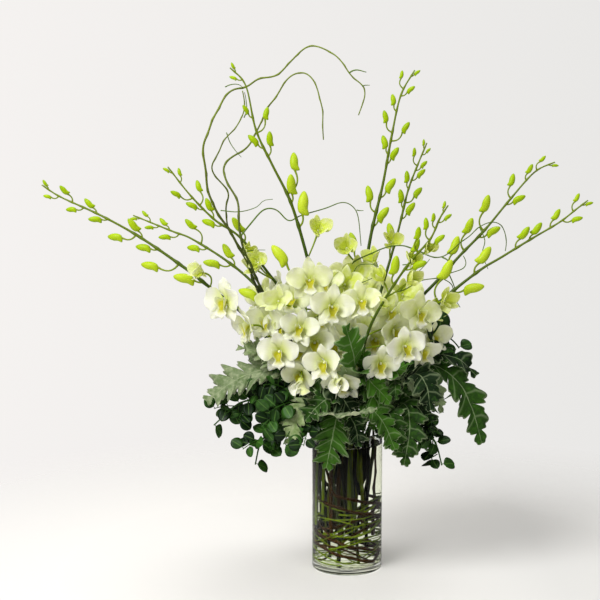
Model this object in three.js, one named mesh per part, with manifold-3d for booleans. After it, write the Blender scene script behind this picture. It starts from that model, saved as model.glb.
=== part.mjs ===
// A florist's glass cylinder of water with nine sprays of white dendrobium orchids, curly willow,
// dusty miller leaves and sprigs of round leaves. Millimetres, +Z up, the viewer stands on the -Y side,
// and the origin is the middle of the vase's foot.
import * as THREE from "three";
import { mergeVertices } from "three/addons/utils/BufferGeometryUtils.js";
import Module from "manifold-3d";

const wasm = await Module();
wasm.setup();

// The vase is the common 4 by 8 inch cylinder.
const vase = { radius: 51, height: 203, wall: 3.5, floor: 6, edge: 1.4, sides: 32 };
const water = { level: 185, gap: 0.3 };
const clearance = 0.35; // left between a piece and the ones that were there before it
const sunk = 1.5; // how far a bloom's stalk reaches into its back

// Stems stand in the mouth on a centre and two rings, and are twisted and drawn in towards the foot.
const innerRing = { radius: 17, count: 7, first: -26 };
const outerRing = { radius: 33, count: 14, first: -90 };
const willowRing = { radius: 41, count: 24, first: -26 };
const mouthHeight = vase.height + 2;
const stemFoot = vase.floor + 4;
const bundle = { twist: 75, drawnIn: 0.62 };

// The willow goes down along the glass and lies round the foot in rings.
const coil = { top: 118, foot: 14, pointsPerTurn: 10 };

// Stems and branches have square rings: the radius at the tip and at full growth, and the ring spacing.
const firstAcross = new THREE.Vector3(0.3, 1, 0.2);
const leastRingGap = 0.5;
const squareShare = 0.78; // a square ring's half side against the radius of the round stem it stands for
const stem = { tip: 0.9, foot: 2.3, growth: 260, step: 48, facet: 2.6 };
const willow = { tip: 1.1, foot: 2.5, growth: 600, step: 23, facet: 3, twigFoot: 1.3 };
const leafStem = { tip: 1.2, foot: 2.1, growth: 150, step: 48, facet: 2.4 };
const bud = { neck: 1.2, fullness: 0.23, lift: 0.8, spread: 0.55, small: 18 };
const stalkRadius = 1.5;
const bloomHeart = { depth: 6, radius: 4, rim: 2.4 };
const bladeThickness = 0.8;
const slimmest = 0.5; // the width of a tepal in a closed bloom against one in an open bloom
const clawWidth = 0.15; // a tepal is drawn in to this share of its width at its root
const clawLength = 0.9; // and reaches its width over this share of its length

const leafGreen = { color: 0x47582f, roughness: 0.6, metalness: 0 };
const silverGreen = { color: 0x7d8f78, roughness: 0.8, metalness: 0 };
const darkGreen = { color: 0x34452f, roughness: 0.55, metalness: 0 };
const limeGreen = { color: 0xa9c24a, roughness: 0.45, metalness: 0 };
const petalWhite = { color: 0xf4f6e6, roughness: 0.5, metalness: 0 };
const bark = { color: 0x6d6a34, roughness: 0.7, metalness: 0 };
const clearGlass = { color: 0xe9f0ec, roughness: 0.03, metalness: 0 };
const clearWater = { color: 0xdfe9df, roughness: 0.02, metalness: 0 };

// A spray is its route from the tip down to just above the vase, its place in the mouth, and its buds:
// [distance from the tip along the stem, reach to the side, length].
const sprays = [
  {
    route: [
      [-441, 20, 559], [-415, 20, 542], [-356, 10, 516], [-298, 0, 485], [-233, -14, 442],
      [-205, -20, 421], [-126, -28, 354],
    ],
    place: ringPlace(innerRing, 5),
    buds: [
      [2, -5, 9], [15, 10, 10], [33, -12, 14], [52, 11, 14], [74, -9, 15], [92, 9, 16],
      [128, 20, 20], [146, -11, 19], [174, 11, 19], [196, 28, 22], [250, 13, 25],
    ],
  },
  {
    route: [
      [-322, 120, 509], [-258, 110, 484], [-235, 105, 476], [-181, 90, 444], [-136, 75, 408],
      [-69, 40, 338],
    ],
    place: ringPlace(innerRing, 3),
    buds: [
      [2, 5, 9], [15, -9, 10], [30, 8, 11], [46, -8, 13], [57, 13, 15], [88, -20, 17],
      [105, 12, 18], [145, 16, 21], [153, -13, 21], [218, 18, 26],
    ],
  },
  {
    route: [
      [-263, 60, 584], [-231, 60, 543], [-194, 55, 506], [-157, 50, 481], [-113, 40, 426],
      [-91, 30, 398], [-47, 20, 326],
    ],
    place: ringPlace(innerRing, 4),
    buds: [
      [2, 5, 9], [16, -9, 10], [38, 15, 14], [50, -18, 15], [65, 9, 15], [82, -11, 17],
      [99, 10, 18], [136, -13, 21],
    ],
  },
  {
    route: [
      [-167, -20, 724], [-145, -20, 700], [-131, -22, 638], [-108, -25, 589], [-83, -28, 539],
      [-65, -32, 482], [-55, -36, 441], [-37, -36, 351],
    ],
    place: ringPlace(innerRing, 6),
    buds: [
      [1, -5, 8], [12, 8, 9], [66, 8, 12], [76, -20, 15], [108, 9, 16], [116, -14, 17],
      [160, -30, 22], [187, -12, 24], [216, -17, 28], [276, 38, 28],
    ],
  },
  {
    route: [
      [98, 60, 724], [78, 60, 688], [65, 55, 630], [52, 50, 558], [36, 40, 492], [22, 28, 412],
      [7, 15, 333],
    ],
    place: [0, 0],
    buds: [
      [1, -5, 9], [15, 13, 10], [27, -10, 12], [50, 9, 14], [76, 15, 15], [86, -18, 15],
      [112, 9, 17], [126, -9, 17], [172, -12, 20], [191, 17, 20], [216, -11, 21], [262, 25, 22],
    ],
  },
  {
    route: [
      [124, 140, 618], [110, 135, 585], [95, 125, 547], [82, 115, 495], [71, 100, 458],
      [43, 70, 371], [20, 40, 315],
    ],
    place: ringPlace(innerRing, 2),
    buds: [
      [1, 5, 8], [9, -7, 8], [21, 13, 11], [31, -9, 12], [46, -10, 14], [60, 9, 15],
      [75, -16, 17], [90, 9, 17], [104, -11, 18], [145, 12, 21],
    ],
  },
  {
    route: [
      [127, -150, 539], [116, -150, 522], [104, -145, 493], [78, -135, 462], [46, -115, 409],
      [25, -95, 362], [11, -60, 288],
    ],
    place: ringPlace(outerRing, 1),
    buds: [
      [2, 5, 8], [13, -9, 10], [22, 9, 10], [34, 14, 13], [45, -11, 14], [52, 19, 15],
      [71, 9, 16], [86, -12, 18], [109, 14, 22],
    ],
  },
  {
    route: [
      [303, 50, 591], [274, 50, 577], [238, 50, 536], [202, 48, 492], [166, 45, 455],
      [136, 40, 422], [92, 30, 376], [40, 15, 304],
    ],
    place: ringPlace(innerRing, 1),
    buds: [
      [1, -5, 8], [14, 11, 10], [35, 9, 13], [62, 16, 16], [77, -10, 17], [113, 25, 22],
      [136, -12, 20], [156, 23, 21], [190, 16, 24],
    ],
  },
  {
    route: [
      [330, -60, 541], [312, -60, 527], [292, -60, 511], [251, -58, 486], [210, -55, 460],
      [183, -52, 443], [135, -45, 403], [73, -30, 341], [32, -15, 280],
    ],
    place: ringPlace(innerRing, 0),
    buds: [
      [1, -5, 9], [9, 12, 11], [28, -11, 13], [46, 11, 15], [80, 9, 17], [98, 13, 18],
      [161, 14, 24], [199, -15, 25], [213, 29, 26],
    ],
  },
];

// A bloom is the spray that it grows on, its middle, the way that it faces (0 is to the viewer, 90 to +X)
// and how far up, its roll, its petal length, how far it is open, and how far below it its stalk starts.
const blooms = [
  { spray: 1, at: [-171, -50, 399], faces: -35, up: 5, roll: 4, size: 31, open: 1, drop: 16 },
  { spray: 1, at: [-204, -44, 438], faces: -60, up: 15, roll: -10, size: 21, open: 0.3, drop: 22 },
  { spray: 1, at: [-137, -62, 366], faces: -62, up: -4, roll: 12, size: 27, open: 0.85, drop: 16 },
  { spray: 3, at: [-128, 2, 446], faces: -14, up: 34, roll: 8, size: 23, open: 0.35, drop: 24 },
  { spray: 4, at: [-98, -66, 400], faces: -12, up: 18, roll: -6, size: 25, open: 0.45, drop: 14 },
  { spray: 4, at: [-56, -78, 430], faces: 2, up: 16, roll: 3, size: 28, open: 1, drop: 16 },
  { spray: 4, at: [-26, -92, 396], faces: 10, up: 2, roll: -5, size: 29, open: 1, drop: 18 },
  { spray: 1, at: [-96, -86, 334], faces: -18, up: -4, roll: 6, size: 29, open: 1, drop: 10 },
  { spray: 4, at: [-68, -70, 364], faces: -10, up: 6, roll: -12, size: 25, open: 0.9, drop: 10 },
  { spray: 7, at: [-34, -104, 322], faces: -20, up: -8, roll: 5, size: 28, open: 0.85, drop: 12 },
  { spray: 1, at: [-66, -74, 300], faces: -28, up: -16, roll: -8, size: 26, open: 0.75, drop: 4 },
  { spray: 7, at: [-10, -88, 292], faces: -4, up: -14, roll: 8, size: 26, open: 0.85, drop: -4 },
  { spray: 7, at: [42, -90, 318], faces: 6, up: -8, roll: -4, size: 26, open: 0.9, drop: -4 },
  { spray: 7, at: [74, -106, 344], faces: 14, up: 0, roll: 10, size: 27, open: 1, drop: 6 },
  { spray: 9, at: [94, -78, 386], faces: 22, up: 6, roll: -7, size: 27, open: 0.95, drop: 12 },
  { spray: 9, at: [128, -78, 402], faces: 42, up: 16, roll: 4, size: 21, open: 0.3, drop: 22 },
  { spray: 9, at: [114, -56, 350], faces: 36, up: -6, roll: 10, size: 25, open: 0.85, drop: 10 },
  { spray: 7, at: [16, -84, 402], faces: 0, up: 14, roll: 6, size: 27, open: 0.9, drop: 20 },
  { spray: 9, at: [58, -58, 384], faces: 8, up: 14, roll: -9, size: 26, open: 0.9, drop: 34 },
  { spray: 5, at: [2, -52, 352], faces: -2, up: 4, roll: 0, size: 26, open: 0.9, drop: 24 },
  { spray: 5, at: [-2, -8, 468], faces: -8, up: 32, roll: -5, size: 23, open: 0.4, drop: 30 },
  { spray: 4, at: [-44, -26, 494], faces: 12, up: 42, roll: 6, size: 22, open: 0.4, drop: 36 },
  { spray: 6, at: [66, 74, 470], faces: 4, up: 30, roll: 0, size: 22, open: 0.4, drop: 26 },
  { spray: 2, at: [-122, 104, 384], faces: 205, up: 4, roll: 5, size: 29, open: 1, drop: 12 },
  { spray: 3, at: [-66, 84, 396], faces: 188, up: 12, roll: -8, size: 28, open: 0.95, drop: 16 },
  { spray: 5, at: [-2, 78, 376], faces: 178, up: 6, roll: 5, size: 28, open: 1, drop: 18 },
  { spray: 6, at: [40, 116, 398], faces: 168, up: 8, roll: -4, size: 28, open: 1, drop: 16 },
  { spray: 8, at: [98, 76, 362], faces: 146, up: 4, roll: 6, size: 28, open: 0.95, drop: 10 },
];

// A willow branch is its route, its place in the mouth, its turns round the foot with their radius and the
// angle at which they start, and its twigs.
const willows = [
  {
    route: [
      [14, -18, 658], [22, -16, 682], [19, -15, 699], [0, -12, 717], [-20, -8, 743], [-49, 0, 755],
      [-69, 5, 748], [-86, 10, 729], [-105, 12, 714], [-129, 10, 709], [-144, 8, 699],
      [-165, 4, 694], [-182, -2, 673], [-198, -6, 638], [-206, -6, 616], [-204, -4, 587],
      [-202, 0, 562], [-195, 4, 534], [-184, 6, 515], [-167, 8, 488], [-145, 10, 448],
      [-124, 12, 393], [-69, 15, 297],
    ],
    place: ringPlace(willowRing, 13),
    lead: -20,
    radius: 41.5,
    turns: 1.5,
    twigs: [[[0, -12, 717], [8, -14, 722], [24, -16, 718]]],
  },
  {
    route: [
      [-152, 18, 693], [-149, 16, 676], [-152, 14, 654], [-177, 10, 623], [-182, 12, 612],
      [-194, 14, 592], [-195, 16, 579], [-172, 20, 547], [-176, 22, 527], [-174, 24, 500],
      [-155, 26, 465], [-139, 28, 438], [-116, 30, 384], [-66, 32, 302],
    ],
    place: ringPlace(willowRing, 11),
    lead: -15,
    radius: 34,
    turns: -1.4,
    twigs: [],
  },
  {
    route: [
      [-35, -14, 624], [-39, -12, 675], [-48, -8, 702], [-58, -4, 716], [-69, 0, 719],
      [-83, 4, 713], [-97, 8, 694], [-112, 12, 673], [-122, 18, 656], [-135, 26, 627],
      [-145, 28, 613], [-167, 26, 599], [-178, 20, 586], [-178, 10, 573], [-164, 0, 548],
      [-156, -10, 528], [-154, -20, 487], [-140, -24, 449], [-128, -26, 423], [-108, -22, 377],
      [-60, -8, 293],
    ],
    place: ringPlace(willowRing, 15),
    lead: 40,
    radius: 41.5,
    turns: 1.5,
    twigs: [
      [
        [-154, -20, 487], [-138, -22, 507], [-120, -20, 526], [-102, -14, 525], [-85, -16, 509],
        [-69, -18, 517], [-33, -10, 527], [-10, 0, 535], [4, 4, 531], [14, 6, 516], [19, 8, 472],
      ],
    ],
  },
  {
    route: [
      [230, 24, 463], [231, 22, 481], [221, 18, 501], [206, 12, 507], [189, 6, 499],
      [172, 0, 485], [161, -4, 480], [148, -10, 466], [133, -16, 458], [111, -20, 461],
      [93, -20, 470], [79, -18, 475], [56, -16, 472], [40, -14, 467], [20, -10, 457], [2, -4, 444],
      [-4, 0, 425], [8, 0, 403], [22, 4, 348], [26, 18, 274],
    ],
    place: ringPlace(willowRing, 5),
    turns: 0,
    twigs: [[[133, -16, 458], [144, -20, 452], [141, -22, 440], [150, -24, 418], [154, -24, 400]]],
  },
  {
    route: [
      [162, -22, 460], [167, -24, 447], [151, -26, 438], [129, -30, 431], [103, -34, 426],
      [86, -38, 418], [72, -40, 412], [51, -38, 402], [42, -34, 356], [30, -28, 283],
    ],
    place: ringPlace(willowRing, 0),
    turns: 0,
    twigs: [],
  },
];

// A dusty miller stem is its route, its place in the mouth, and its leaves: each one's midrib from the stem
// to its tip, its width, and the way that its upper face looks.
const millers = [
  {
    finish: silverGreen,
    route: [[-64, -46, 288], [-45, -36, 246]],
    place: ringPlace(outerRing, 12),
    leaves: [
      { rib: [[-58, -43, 276], [-102, -62, 304], [-153, -66, 292], [-200, -70, 260]], width: 52 },
      { rib: [[-64, -46, 287], [-92, -28, 316], [-122, -18, 336], [-150, -14, 350]], width: 32 },
      { rib: [[-45, -36, 247], [-62, -76, 258], [-76, -94, 236], [-86, -100, 206]], width: 30, lobes: 4 },
      { rib: [[-41, -34, 237], [-46, -92, 250], [-8, -120, 250], [36, -124, 260]], width: 30 },
    ],
  },
  {
    finish: leafGreen,
    route: [[-4, -54, 268], [-2, -44, 240]],
    place: ringPlace(outerRing, 0),
    leaves: [
      { rib: [[-4, -54, 267], [6, -88, 292], [4, -118, 330], [-8, -134, 376]], width: 40 },
      { rib: [[-3, -48, 250], [-16, -80, 242], [-24, -88, 210], [-32, -86, 168]], width: 34 },
      { rib: [[-3, -49, 253], [24, -86, 256], [46, -104, 236], [62, -110, 200]], width: 36 },
    ],
  },
  {
    finish: leafGreen,
    route: [[66, -38, 268], [48, -24, 238]],
    place: ringPlace(outerRing, 3),
    leaves: [
      { rib: [[64, -37, 264], [90, -84, 300], [104, -108, 290], [110, -116, 256]], width: 44 },
      {
        rib: [[66, -38, 267], [112, -48, 306], [152, -54, 286], [174, -58, 246], [188, -62, 198]],
        width: 50,
      },
      { rib: [[48, -24, 239], [78, -64, 254], [84, -86, 224], [76, -94, 174]], width: 44 },
    ],
  },
  {
    finish: leafGreen,
    route: [[28, 58, 262], [18, 42, 236]],
    place: ringPlace(outerRing, 6),
    leaves: [
      { rib: [[28, 58, 261], [70, 90, 298], [112, 110, 284], [138, 120, 240]], width: 46 },
      { rib: [[20, 45, 241], [26, 104, 280], [18, 140, 262], [12, 152, 212]], width: 44 },
    ],
  },
  {
    finish: leafGreen,
    route: [[-28, 58, 262], [-18, 42, 236]],
    place: ringPlace(outerRing, 8),
    leaves: [
      { rib: [[-28, 58, 261], [-64, 94, 296], [-104, 114, 276], [-130, 122, 232]], width: 46 },
      { rib: [[-20, 45, 241], [-36, 94, 258], [-48, 118, 228], [-54, 122, 176]], width: 42 },
    ],
  },
];
const miller = { lobes: 5, petiole: 0.16, notch: 0.45, sweep: 0.35, neck: 1.3, tipHalfWidth: 1.5 };

// A round-leaf sprig is its route from the tip down, its place in the mouth, and how many leaves it has.
const sprigs = [
  {
    route: [[-190, -72, 226], [-179, -70, 236], [-154, -64, 256], [-119, -56, 262], [-69, -32, 258]],
    place: ringPlace(outerRing, 11),
    leaves: 8,
  },
  {
    route: [[-158, -12, 272], [-130, -10, 290], [-105, -8, 282], [-69, -4, 266]],
    place: ringPlace(outerRing, 10),
    leaves: 7,
  },
  {
    route: [[-132, -74, 170], [-123, -70, 204], [-97, -64, 226], [-63, -54, 246], [-34, -44, 240]],
    place: ringPlace(outerRing, 13),
    leaves: 8,
  },
  {
    route: [[184, -12, 322], [164, -8, 336], [135, -4, 346], [111, -2, 332], [75, -2, 300]],
    place: ringPlace(outerRing, 4),
    leaves: 7,
  },
  {
    route: [[132, -62, 166], [122, -58, 200], [100, -50, 222], [67, -36, 240], [46, -28, 236]],
    place: ringPlace(outerRing, 2),
    leaves: 7,
  },
  {
    route: [[-24, 140, 206], [-14, 118, 240], [-2, 82, 258], [2, 52, 244]],
    place: ringPlace(outerRing, 7),
    leaves: 5,
  },
  {
    route: [[146, 92, 226], [126, 84, 256], [92, 64, 270], [52, 40, 258]],
    place: ringPlace(outerRing, 5),
    leaves: 6,
  },
  {
    route: [[-146, 84, 220], [-126, 76, 250], [-92, 60, 264], [-50, 40, 252]],
    place: ringPlace(outerRing, 9),
    leaves: 6,
  },
];
const roundLeaf = {
  width: 21,
  stalk: 6.5,
  pitch: 17,
  first: 10,
  shrink: 0.35,
  turn: 3.5,
  neck: 0.9,
  outline: [[0.6, 0.84], [1.4, 0.88], [1.95, 0.3]], // along and half width, in radii from the stalk's end
};

const away = new THREE.Vector3(0, 1, 0);
const upward = new THREE.Vector3(0, 0, 1);
const leafFace = new THREE.Vector3(0, -0.6, 0.8);

// Point k of a ring in the mouth.
function ringPlace(ring, k) {
  const angle = THREE.MathUtils.degToRad(ring.first + (360 * k) / ring.count);
  return [ring.radius * Math.cos(angle), ring.radius * Math.sin(angle)];
}

function curveThrough(points) {
  return new THREE.CatmullRomCurve3(
    points.map((p) => new THREE.Vector3(...p)),
    false,
    "catmullrom",
    0.5,
  );
}

// A stem's foot is its place in the mouth, turned and drawn in.
function footOf([x, y]) {
  const twist = THREE.MathUtils.degToRad(bundle.twist);
  return new THREE.Vector3(
    bundle.drawnIn * (x * Math.cos(twist) - y * Math.sin(twist)),
    bundle.drawnIn * (x * Math.sin(twist) + y * Math.cos(twist)),
    stemFoot,
  );
}

// The willow in the vase: from the mouth down along the glass, and then in rings round the foot.
function willowInVase({ place, lead, radius, turns }) {
  const mouthAngle = Math.atan2(place[1], place[0]);
  const steps = Math.round(Math.abs(turns) * coil.pointsPerTurn);
  return Array.from({ length: steps + 1 }, (_, i) => {
    const angle = mouthAngle + THREE.MathUtils.degToRad(lead + (360 * turns * i) / steps);
    const z = THREE.MathUtils.lerp(coil.top, coil.foot, i / steps);
    return new THREE.Vector3(radius * Math.cos(angle), radius * Math.sin(angle), z);
  });
}

// A stem's path from its tip: a curve to the mouth, the points spaced along it, and its part in the vase.
function stemPath({ route, place }, step, inVase = [footOf(place)]) {
  const curve = curveThrough([...route, [...place, mouthHeight]]);
  const chords = curve.getSpacedPoints(Math.round(curve.getLength() / step));
  return { curve, ...measured([...chords, ...inVase]) };
}

// A line of points with the distance of each from the first.
function measured(line) {
  const distances = [0];
  line.slice(1).forEach((p, i) => distances.push(distances[i] + p.distanceTo(line[i])));
  return { line, distances };
}

function pointAt({ line, distances }, distance) {
  const i = Math.max(0, Math.min(line.length - 2, distances.findIndex((d) => d >= distance) - 1));
  return line[i].clone().lerp(line[i + 1], (distance - distances[i]) / (distances[i + 1] - distances[i]));
}

// The distance along a line of the place nearest to a point.
function nearestDistance({ line, distances }, point) {
  const segment = new THREE.Line3();
  let best = { gap: Infinity, distance: 0 };
  for (let i = 0; i + 1 < line.length; i++) {
    segment.set(line[i], line[i + 1]);
    const share = segment.closestPointToPointParameter(point, true);
    const gap = segment.at(share, new THREE.Vector3()).distanceTo(point);
    const distance = THREE.MathUtils.lerp(distances[i], distances[i + 1], share);
    if (gap < best.gap) best = { gap, distance };
  }
  return best.distance;
}

// The distance along a line of the first place that is no higher than z.
function distanceAtHeight({ line, distances }, z) {
  const i = line.findIndex((p) => p.z <= z);
  return THREE.MathUtils.mapLinear(z, line[i - 1].z, line[i].z, distances[i - 1], distances[i]);
}

// A closed solid from points and triangles, turned the right way round.
function solidOf(points, faces) {
  const vertProperties = new Float32Array(points.flatMap((p) => [p.x, p.y, p.z]));
  let triVerts = new Uint32Array(faces.flat());
  const made = new wasm.Manifold(new wasm.Mesh({ numProp: 3, vertProperties, triVerts }));
  if (made.volume() > 0) return made;
  triVerts = new Uint32Array(faces.flatMap(([a, b, c]) => [a, c, b]));
  return new wasm.Manifold(new wasm.Mesh({ numProp: 3, vertProperties, triVerts }));
}

// The sides between two loops of four corners, or up to a tip. Opposite sides are split alike, so that the
// two faces of a thin twisted blade never cross.
function sideFaces(a, b) {
  return a.flatMap((corner, j) => {
    const k = (j + 1) % a.length;
    if (b.length === 1) return [[corner, a[k], b[0]]];
    const split = j < 2 ? [a[k], b[j]] : [corner, b[k]];
    return [[corner, a[k], j < 2 ? b[j] : b[k]], [split[0], b[k], b[j]]];
  });
}

// A loop of four corners: a centre, two directions square to the way it points, and two half widths.
function corners({ at, across, other, halfWidth, halfDepth }, order, grow) {
  return order.map(([a, b]) =>
    at
      .clone()
      .addScaledVector(across, a * (halfWidth + grow))
      .addScaledVector(other, b * (halfDepth + grow)),
  );
}

const square = [[-1, -1], [1, -1], [1, 1], [-1, 1]];

// The order in which a shoot's corners best continue the corners of the facet that it grows from.
function matchingOrder(facet, loop) {
  const centre = facet.reduce((sum, p) => sum.add(p), new THREE.Vector3()).divideScalar(facet.length);
  const orders = square.flatMap((_, k) => {
    const turned = [...square.slice(k), ...square.slice(0, k)];
    return [turned, turned.toReversed()];
  });
  const likeness = (order) =>
    order.reduce((sum, [a, b], i) => {
      const direction = loop.across.clone().multiplyScalar(a).addScaledVector(loop.other, b);
      return sum + direction.dot(facet[i].clone().sub(centre).normalize());
    }, 0);
  return orders.reduce((best, order) => (likeness(order) > likeness(best) ? order : best));
}

// The places where a stem has rings: its own points, and a close pair round each shoot.
function ringStations(path, size, shoots, half) {
  const isClear = (distance) =>
    shoots.every((shoot) => Math.abs(shoot.distance - distance) > half + leastRingGap);
  const stations = path.distances.filter(isClear).map((distance) => ({ distance }));
  for (const shoot of shoots) {
    stations.push({ distance: shoot.distance - half, shoot }, { distance: shoot.distance + half });
  }
  stations.sort((a, b) => a.distance - b.distance);
  stations.forEach((station) => (station.at = pointAt(path, station.distance)));
  let across = firstAcross;
  return stations.map(({ distance, shoot, at }, i) => {
    const along = stations[Math.min(i + 1, stations.length - 1)].at.clone();
    along.sub(stations[Math.max(i - 1, 0)].at).normalize();
    across = across.clone().addScaledVector(along, -across.dot(along)).normalize();
    const radius = THREE.MathUtils.lerp(size.tip, size.foot, Math.min(1, distance / size.growth));
    const halfWidth = radius * squareShare;
    const other = new THREE.Vector3().crossVectors(along, across);
    return { at, shoot, loop: { at, across, other, halfWidth, halfDepth: halfWidth } };
  });
}

// A stem of square rings with its shoots in one skin. Each shoot is a distance on the stem and a row of
// loops that ends in a loop or a tip, and it grows out of one facet between two close rings.
function branchSkin(path, size, shoots, grow) {
  const points = [];
  const faces = [];
  const add = (added) => added.map((p) => points.push(p) - 1);
  const cap = ([a, b, c, d]) => faces.push([a, b, c], [a, c, d]);
  const stations = ringStations(path, size, shoots, size.facet / 2 + grow);
  const rings = stations.map(({ loop }) => add(corners(loop, square, grow)));
  cap(rings[0].toReversed());
  cap(rings.at(-1));
  for (let i = 0; i + 1 < rings.length; i++) {
    const [a, b] = [rings[i], rings[i + 1]];
    const sides = sideFaces(a, b);
    const { shoot, at } = stations[i];
    if (shoot) {
      const heading = shoot.loops[0].at.clone().sub(at);
      const facing = a.map((k, j) => points[k].clone().add(points[a[(j + 1) % 4]]).dot(heading));
      const j = facing.indexOf(Math.max(...facing));
      sides.splice(2 * j, 2);
      let last = [a[j], a[(j + 1) % 4], b[(j + 1) % 4], b[j]];
      const facet = last.map((k) => points[k]);
      const order = matchingOrder(facet, shoot.loops[0]);
      for (const { tip, axis, ...loop } of shoot.loops) {
        const next = add(tip ? [tip.clone().addScaledVector(axis, grow)] : corners(loop, order, grow));
        faces.push(...sideFaces(last, next));
        last = next;
      }
      if (last.length === 4) cap(last);
    }
    faces.push(...sides);
  }
  return solidOf(points, faces);
}

// A round section of a shoot, as a loop of four corners.
function roundLoop(at, axis, hint, radius) {
  const across = new THREE.Vector3().crossVectors(axis, hint).normalize();
  const other = new THREE.Vector3().crossVectors(axis, across).normalize();
  return { at, across, other, halfWidth: radius * squareShare, halfDepth: radius * squareShare };
}

// The frame on a curve at a distance from its tip: the point, the way outwards and the ways to its side.
function stemFrame(curve, distance) {
  const share = THREE.MathUtils.clamp(distance / curve.getLength(), 0, 1);
  const outward = curve.getTangentAt(share).negate();
  const side = new THREE.Vector3().crossVectors(outward, away).normalize();
  const depth = new THREE.Vector3().crossVectors(side, outward);
  return { at: curve.getPointAt(share), outward, side, depth };
}

// A bud on its stalk: a slim neck, then a drop shape that is fullest about its middle.
function budShoot(path, [distance, reach, length], index) {
  const { at, outward, side, depth } = stemFrame(path.curve, distance);
  const sway = Math.sin(2.4 * index);
  const axis = outward.clone().multiplyScalar(bud.lift);
  axis.addScaledVector(side, Math.sign(reach) * bud.spread).addScaledVector(depth, 0.3 * sway).normalize();
  const middle = at.clone().addScaledVector(side, reach);
  middle.addScaledVector(depth, 0.45 * sway * Math.abs(reach));
  const along = (share) => middle.clone().addScaledVector(axis, (share - 0.5) * length);
  const full = length * bud.fullness;
  const rings = length < bud.small ? [[0.42, full]] : [[0.25, full * 0.9], [0.62, full]];
  return {
    distance: distance + 0.5 * length + 0.8 * Math.abs(reach),
    loops: [
      roundLoop(along(0), axis, depth, bud.neck),
      ...rings.map(([share, radius]) => roundLoop(along(share), axis, depth, radius)),
      { tip: along(1), axis },
    ],
  };
}

// A bloom's own directions: the way it faces, its right and its crown.
function bloomFrame({ at, faces, up, roll }) {
  const [turn, rise, spin] = [faces, up, roll].map(THREE.MathUtils.degToRad);
  const front = new THREE.Vector3(Math.sin(turn), -Math.cos(turn), Math.tan(rise)).normalize();
  const level = new THREE.Vector3().crossVectors(upward, front).normalize();
  const top = new THREE.Vector3().crossVectors(front, level);
  const right = level.clone().multiplyScalar(Math.cos(spin)).addScaledVector(top, Math.sin(spin));
  const crown = new THREE.Vector3().crossVectors(front, right);
  return { middle: new THREE.Vector3(...at), front, right, crown };
}

// A bloom's stalk, from the stem below it to just inside its back.
function stalkShoot(path, bloom) {
  const { middle, front } = bloomFrame(bloom);
  const distance = distanceAtHeight(path, bloom.at[2] - bloom.drop);
  const end = middle.clone().addScaledVector(front, sunk - bloomHeart.depth / 2);
  const axis = end.clone().sub(pointAt(path, distance)).normalize();
  return { distance, loops: [roundLoop(end, axis, upward, stalkRadius)] };
}

// Petals and sepals: the way each points round the face, its length and width against the petal length,
// its place along the facing direction, and the power that moves its widest place to the tip. In a bloom
// that is less open they are slimmer.
const tepals = [
  { turn: 12, length: 1, width: 0.96, layer: 1.6, widest: 1.25, cup: 0.12 },
  { turn: 90, length: 1, width: 0.56, layer: -0.8, widest: 0.85, cup: -0.1 },
  { turn: 168, length: 1, width: 0.96, layer: 1.6, widest: 1.25, cup: 0.12 },
  { turn: 232, length: 0.98, width: 0.56, layer: -0.8, widest: 0.85, cup: -0.1 },
  { turn: 308, length: 0.98, width: 0.56, layer: -0.8, widest: 0.85, cup: -0.1 },
];
const lip = { turn: 270, length: 0.72, width: 0.6, layer: 1, widest: 1, cup: 0.55, lean: 38, bend: 78 };

// A point on a tepal, u along its midrib and v across it. The midrib leans out from the facing direction
// by an angle that grows along it, and the half width is the square root of a half wave.
function tepalPoint(bloom, tepal, lean, bend, u, v, grow) {
  const { middle, front, right, crown } = bloomFrame(bloom);
  const turn = THREE.MathUtils.degToRad(tepal.turn);
  const out = right.clone().multiplyScalar(Math.cos(turn)).addScaledVector(crown, Math.sin(turn));
  const across = new THREE.Vector3().crossVectors(front, out);
  const length = bloom.size * tepal.length;
  const angle = lean + bend * u;
  const radial = (length * (Math.cos(lean) - Math.cos(angle))) / bend;
  const forward = tepal.layer + (length * (Math.sin(angle) - Math.sin(lean))) / bend;
  const normal = front.clone().multiplyScalar(Math.sin(angle)).addScaledVector(out, -Math.cos(angle));
  const wave = Math.max(0, Math.sin(Math.PI * Math.pow(u, tepal.widest)));
  const slimmed = tepal.width * (slimmest + (1 - slimmest) * bloom.open);
  const claw = Math.min(1, clawWidth + u / clawLength);
  const halfWidth = (bloom.size * slimmed * Math.sqrt(wave) * claw) / 2 + grow;
  const at = middle.clone().addScaledVector(out, radial).addScaledVector(front, forward);
  at.addScaledVector(across, v * halfWidth).addScaledVector(normal, tepal.cup * v * v * halfWidth);
  return { at, normal, thickness: bladeThickness + 2 * grow };
}

// A sheet of triangles made a solid: two like faces, half a thickness to each side, and a rim.
function sheetSkin(middle, sheet) {
  const face = (side) =>
    middle.map(({ at, normal, thickness }) => at.clone().addScaledVector(normal, (side * thickness) / 2));
  const points = [...face(1), ...face(-1)];
  const n = middle.length;
  const faces = [...sheet, ...sheet.map(([a, b, c]) => [a + n, c + n, b + n])];
  const edges = new Set(sheet.flatMap(([a, b, c]) => [`${a},${b}`, `${b},${c}`, `${c},${a}`]));
  for (const edge of edges) {
    const [a, b] = edge.split(",").map(Number);
    if (!edges.has(`${b},${a}`)) faces.push([b, a, a + n], [b, a + n, b + n]);
  }
  return solidOf(points, faces);
}

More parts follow.
